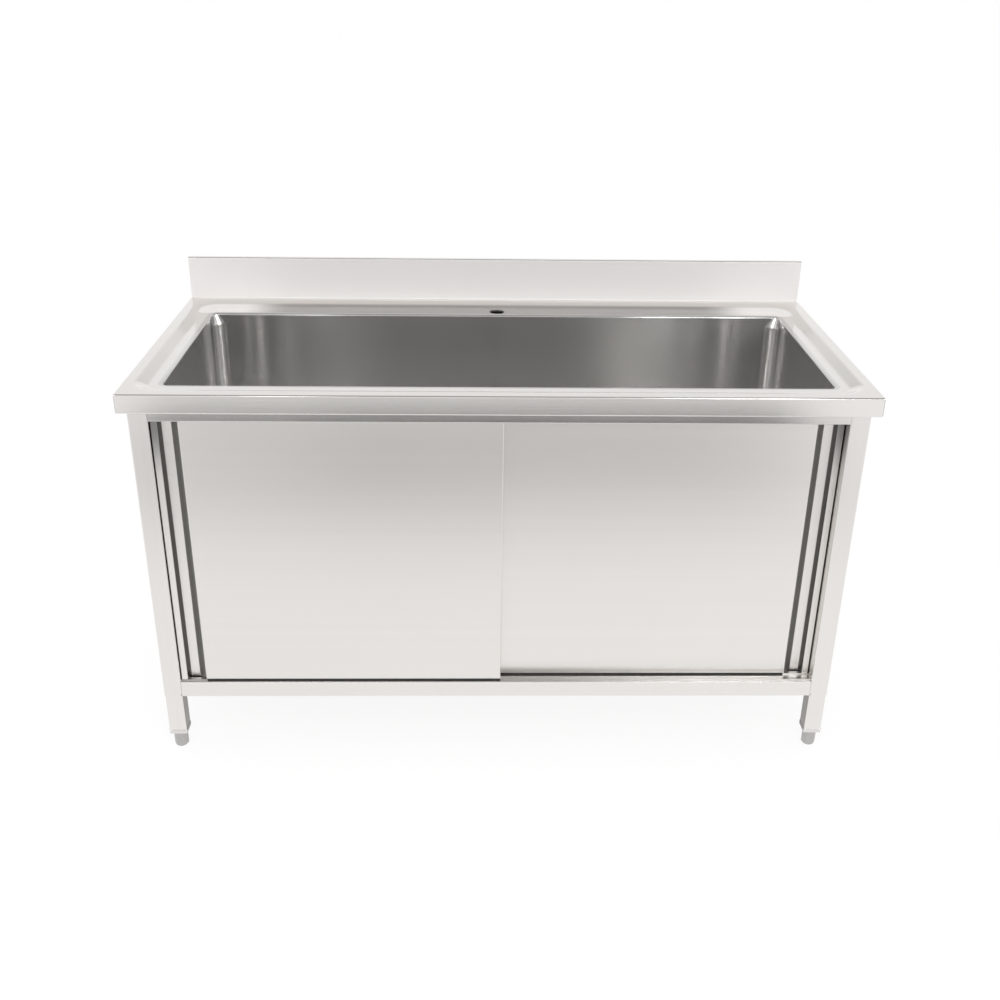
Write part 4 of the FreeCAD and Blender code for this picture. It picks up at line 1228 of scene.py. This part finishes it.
    def make_mat(self, name: str, mat: Mat, height: float) -> None:
        """Lay a mat that only reflections show.

        Args:
            name: The mat's name.
            mat: Its place and darkness.
            height: Its height over the floor.
        """
        spans = (mat.across, mat.along)
        form = self.sheet(*(high - low + 2 * mat.softness for low, high in spans))
        middle = [(low + high) / 2 for low, high in spans]
        bmesh.ops.translate(form, vec=(*middle, height), verts=form.verts)
        material, tree, surface = self.stage_material(name)
        coordinates = add_node(tree, "TexCoord")
        split = add_node(tree, "SeparateXYZ")
        tree.links.new(coordinates.outputs["Object"], split.inputs[0])
        mask: Value = mat.cover
        for axis, (low, high) in zip("XY", spans):
            for edge, reach in ((low, mat.softness), (high, -mat.softness)):
                fade = add_ramp(tree, split.outputs[axis], edge - reach, edge + reach)
                mask = product(tree, fade, mask)
        cloth = add_node(tree, "Emission")
        cloth.inputs["Strength"].default_value = mat.level
        clear = add_node(tree, "BsdfTransparent")
        both = add_node(tree, "MixShader")
        tree.links.new(mask, both.inputs["Fac"])
        tree.links.new(clear.outputs[0], both.inputs[1])
        tree.links.new(cloth.outputs[0], both.inputs[2])
        tree.links.new(both.outputs[0], surface)
        self.hide_from_sight(self.keep_stage(name, form, material))

    def make_strip(self, name: str, place: float, width: float, level: float) -> None:
        """Upright strip light in front of the unit, which only reflections show.

        Args:
            name: The light's name.
            place: Its middle along X.
            width: Its width.
            level: Its brightness, where 1 is white.
        """
        low, high = self.strip_span
        form = self.sheet(width, high - low)
        upright = Matrix.Rotation(math.pi / 2, 3, "X")
        bmesh.ops.rotate(form, cent=(0.0, 0.0, 0.0), matrix=upright, verts=form.verts)
        bmesh.ops.translate(form, vec=(place, self.strip_front, (low + high) / 2), verts=form.verts)
        material, tree, surface = self.stage_material(name)
        glow = add_node(tree, "Emission")
        glow.inputs["Strength"].default_value = level
        tree.links.new(glow.outputs[0], surface)
        self.hide_from_sight(self.keep_stage(name, form, material))

    def hide_from_sight(self, thing: Thing) -> None:
        """Let only reflections see a stage object.

        Args:
            thing: The object.
        """
        thing.visible_camera = False
        thing.visible_diffuse = False
        thing.visible_shadow = False

    def make_fill(self) -> None:
        """Large soft light in front of and above the unit, which reflections don't show."""
        data = bpy.data.lights.new("fill_light", "AREA")
        data.shape = "SQUARE"
        data.size = self.fill_size
        data.energy = self.fill_power
        fill = bpy.data.objects.new("fill_light", data)
        bpy.context.scene.collection.objects.link(fill)
        place = Vector(self.fill_place)
        facing = place.to_track_quat("Z", "Y").to_matrix().to_4x4()
        fill.matrix_world = Matrix.Translation(place) @ facing
        fill.visible_glossy = False

    def make_camera(self) -> None:
        """Camera at the photograph's place and angle."""
        data = bpy.data.cameras.new("camera")
        data.sensor_fit = "HORIZONTAL"
        data.sensor_width = self.sensor
        data.lens = self.focal_pixels / self.frame_pixels * self.sensor
        data.clip_end = self.view_reach
        camera = bpy.data.objects.new("camera", data)
        bpy.context.scene.collection.objects.link(camera)
        level = math.cos(self.camera_pitch)
        yaw_sine, yaw_cosine = math.sin(self.camera_yaw), math.cos(self.camera_yaw)
        ahead = Vector((-yaw_sine * level, yaw_cosine * level, math.sin(self.camera_pitch)))
        right = Vector((yaw_cosine, yaw_sine, 0.0))
        down = ahead.cross(right)
        turned_right = math.cos(self.camera_roll) * right + math.sin(self.camera_roll) * down
        turned_down = math.cos(self.camera_roll) * down - math.sin(self.camera_roll) * right
        axes = Matrix((turned_right, -turned_down, -ahead)).transposed()
        camera.matrix_world = Matrix.Translation(self.camera_place) @ axes.to_4x4()
        bpy.context.scene.camera = camera


def main() -> None:
    """Dress the unit, build its small fittings and the studio."""
    logging.basicConfig(level=logging.INFO, format="%(name)s: %(message)s")
    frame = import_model()
    shared = (frame["nodes"], Finishes(ShaderKit()))
    assemblies: list[SubAssembly] = [Deck(*shared), Bowl(*shared), Waste(*shared), Cabinet(*shared)]
    assemblies += [Leg(*shared, corner=corner) for corner in Corner]
    assemblies.append(DoorGear(*shared))
    assemblies += [Door(*shared, side=side) for side in Side]
    for assembly in assemblies:
        assembly.build()
    Studio().build()


if __name__ == "__main__":
    main()
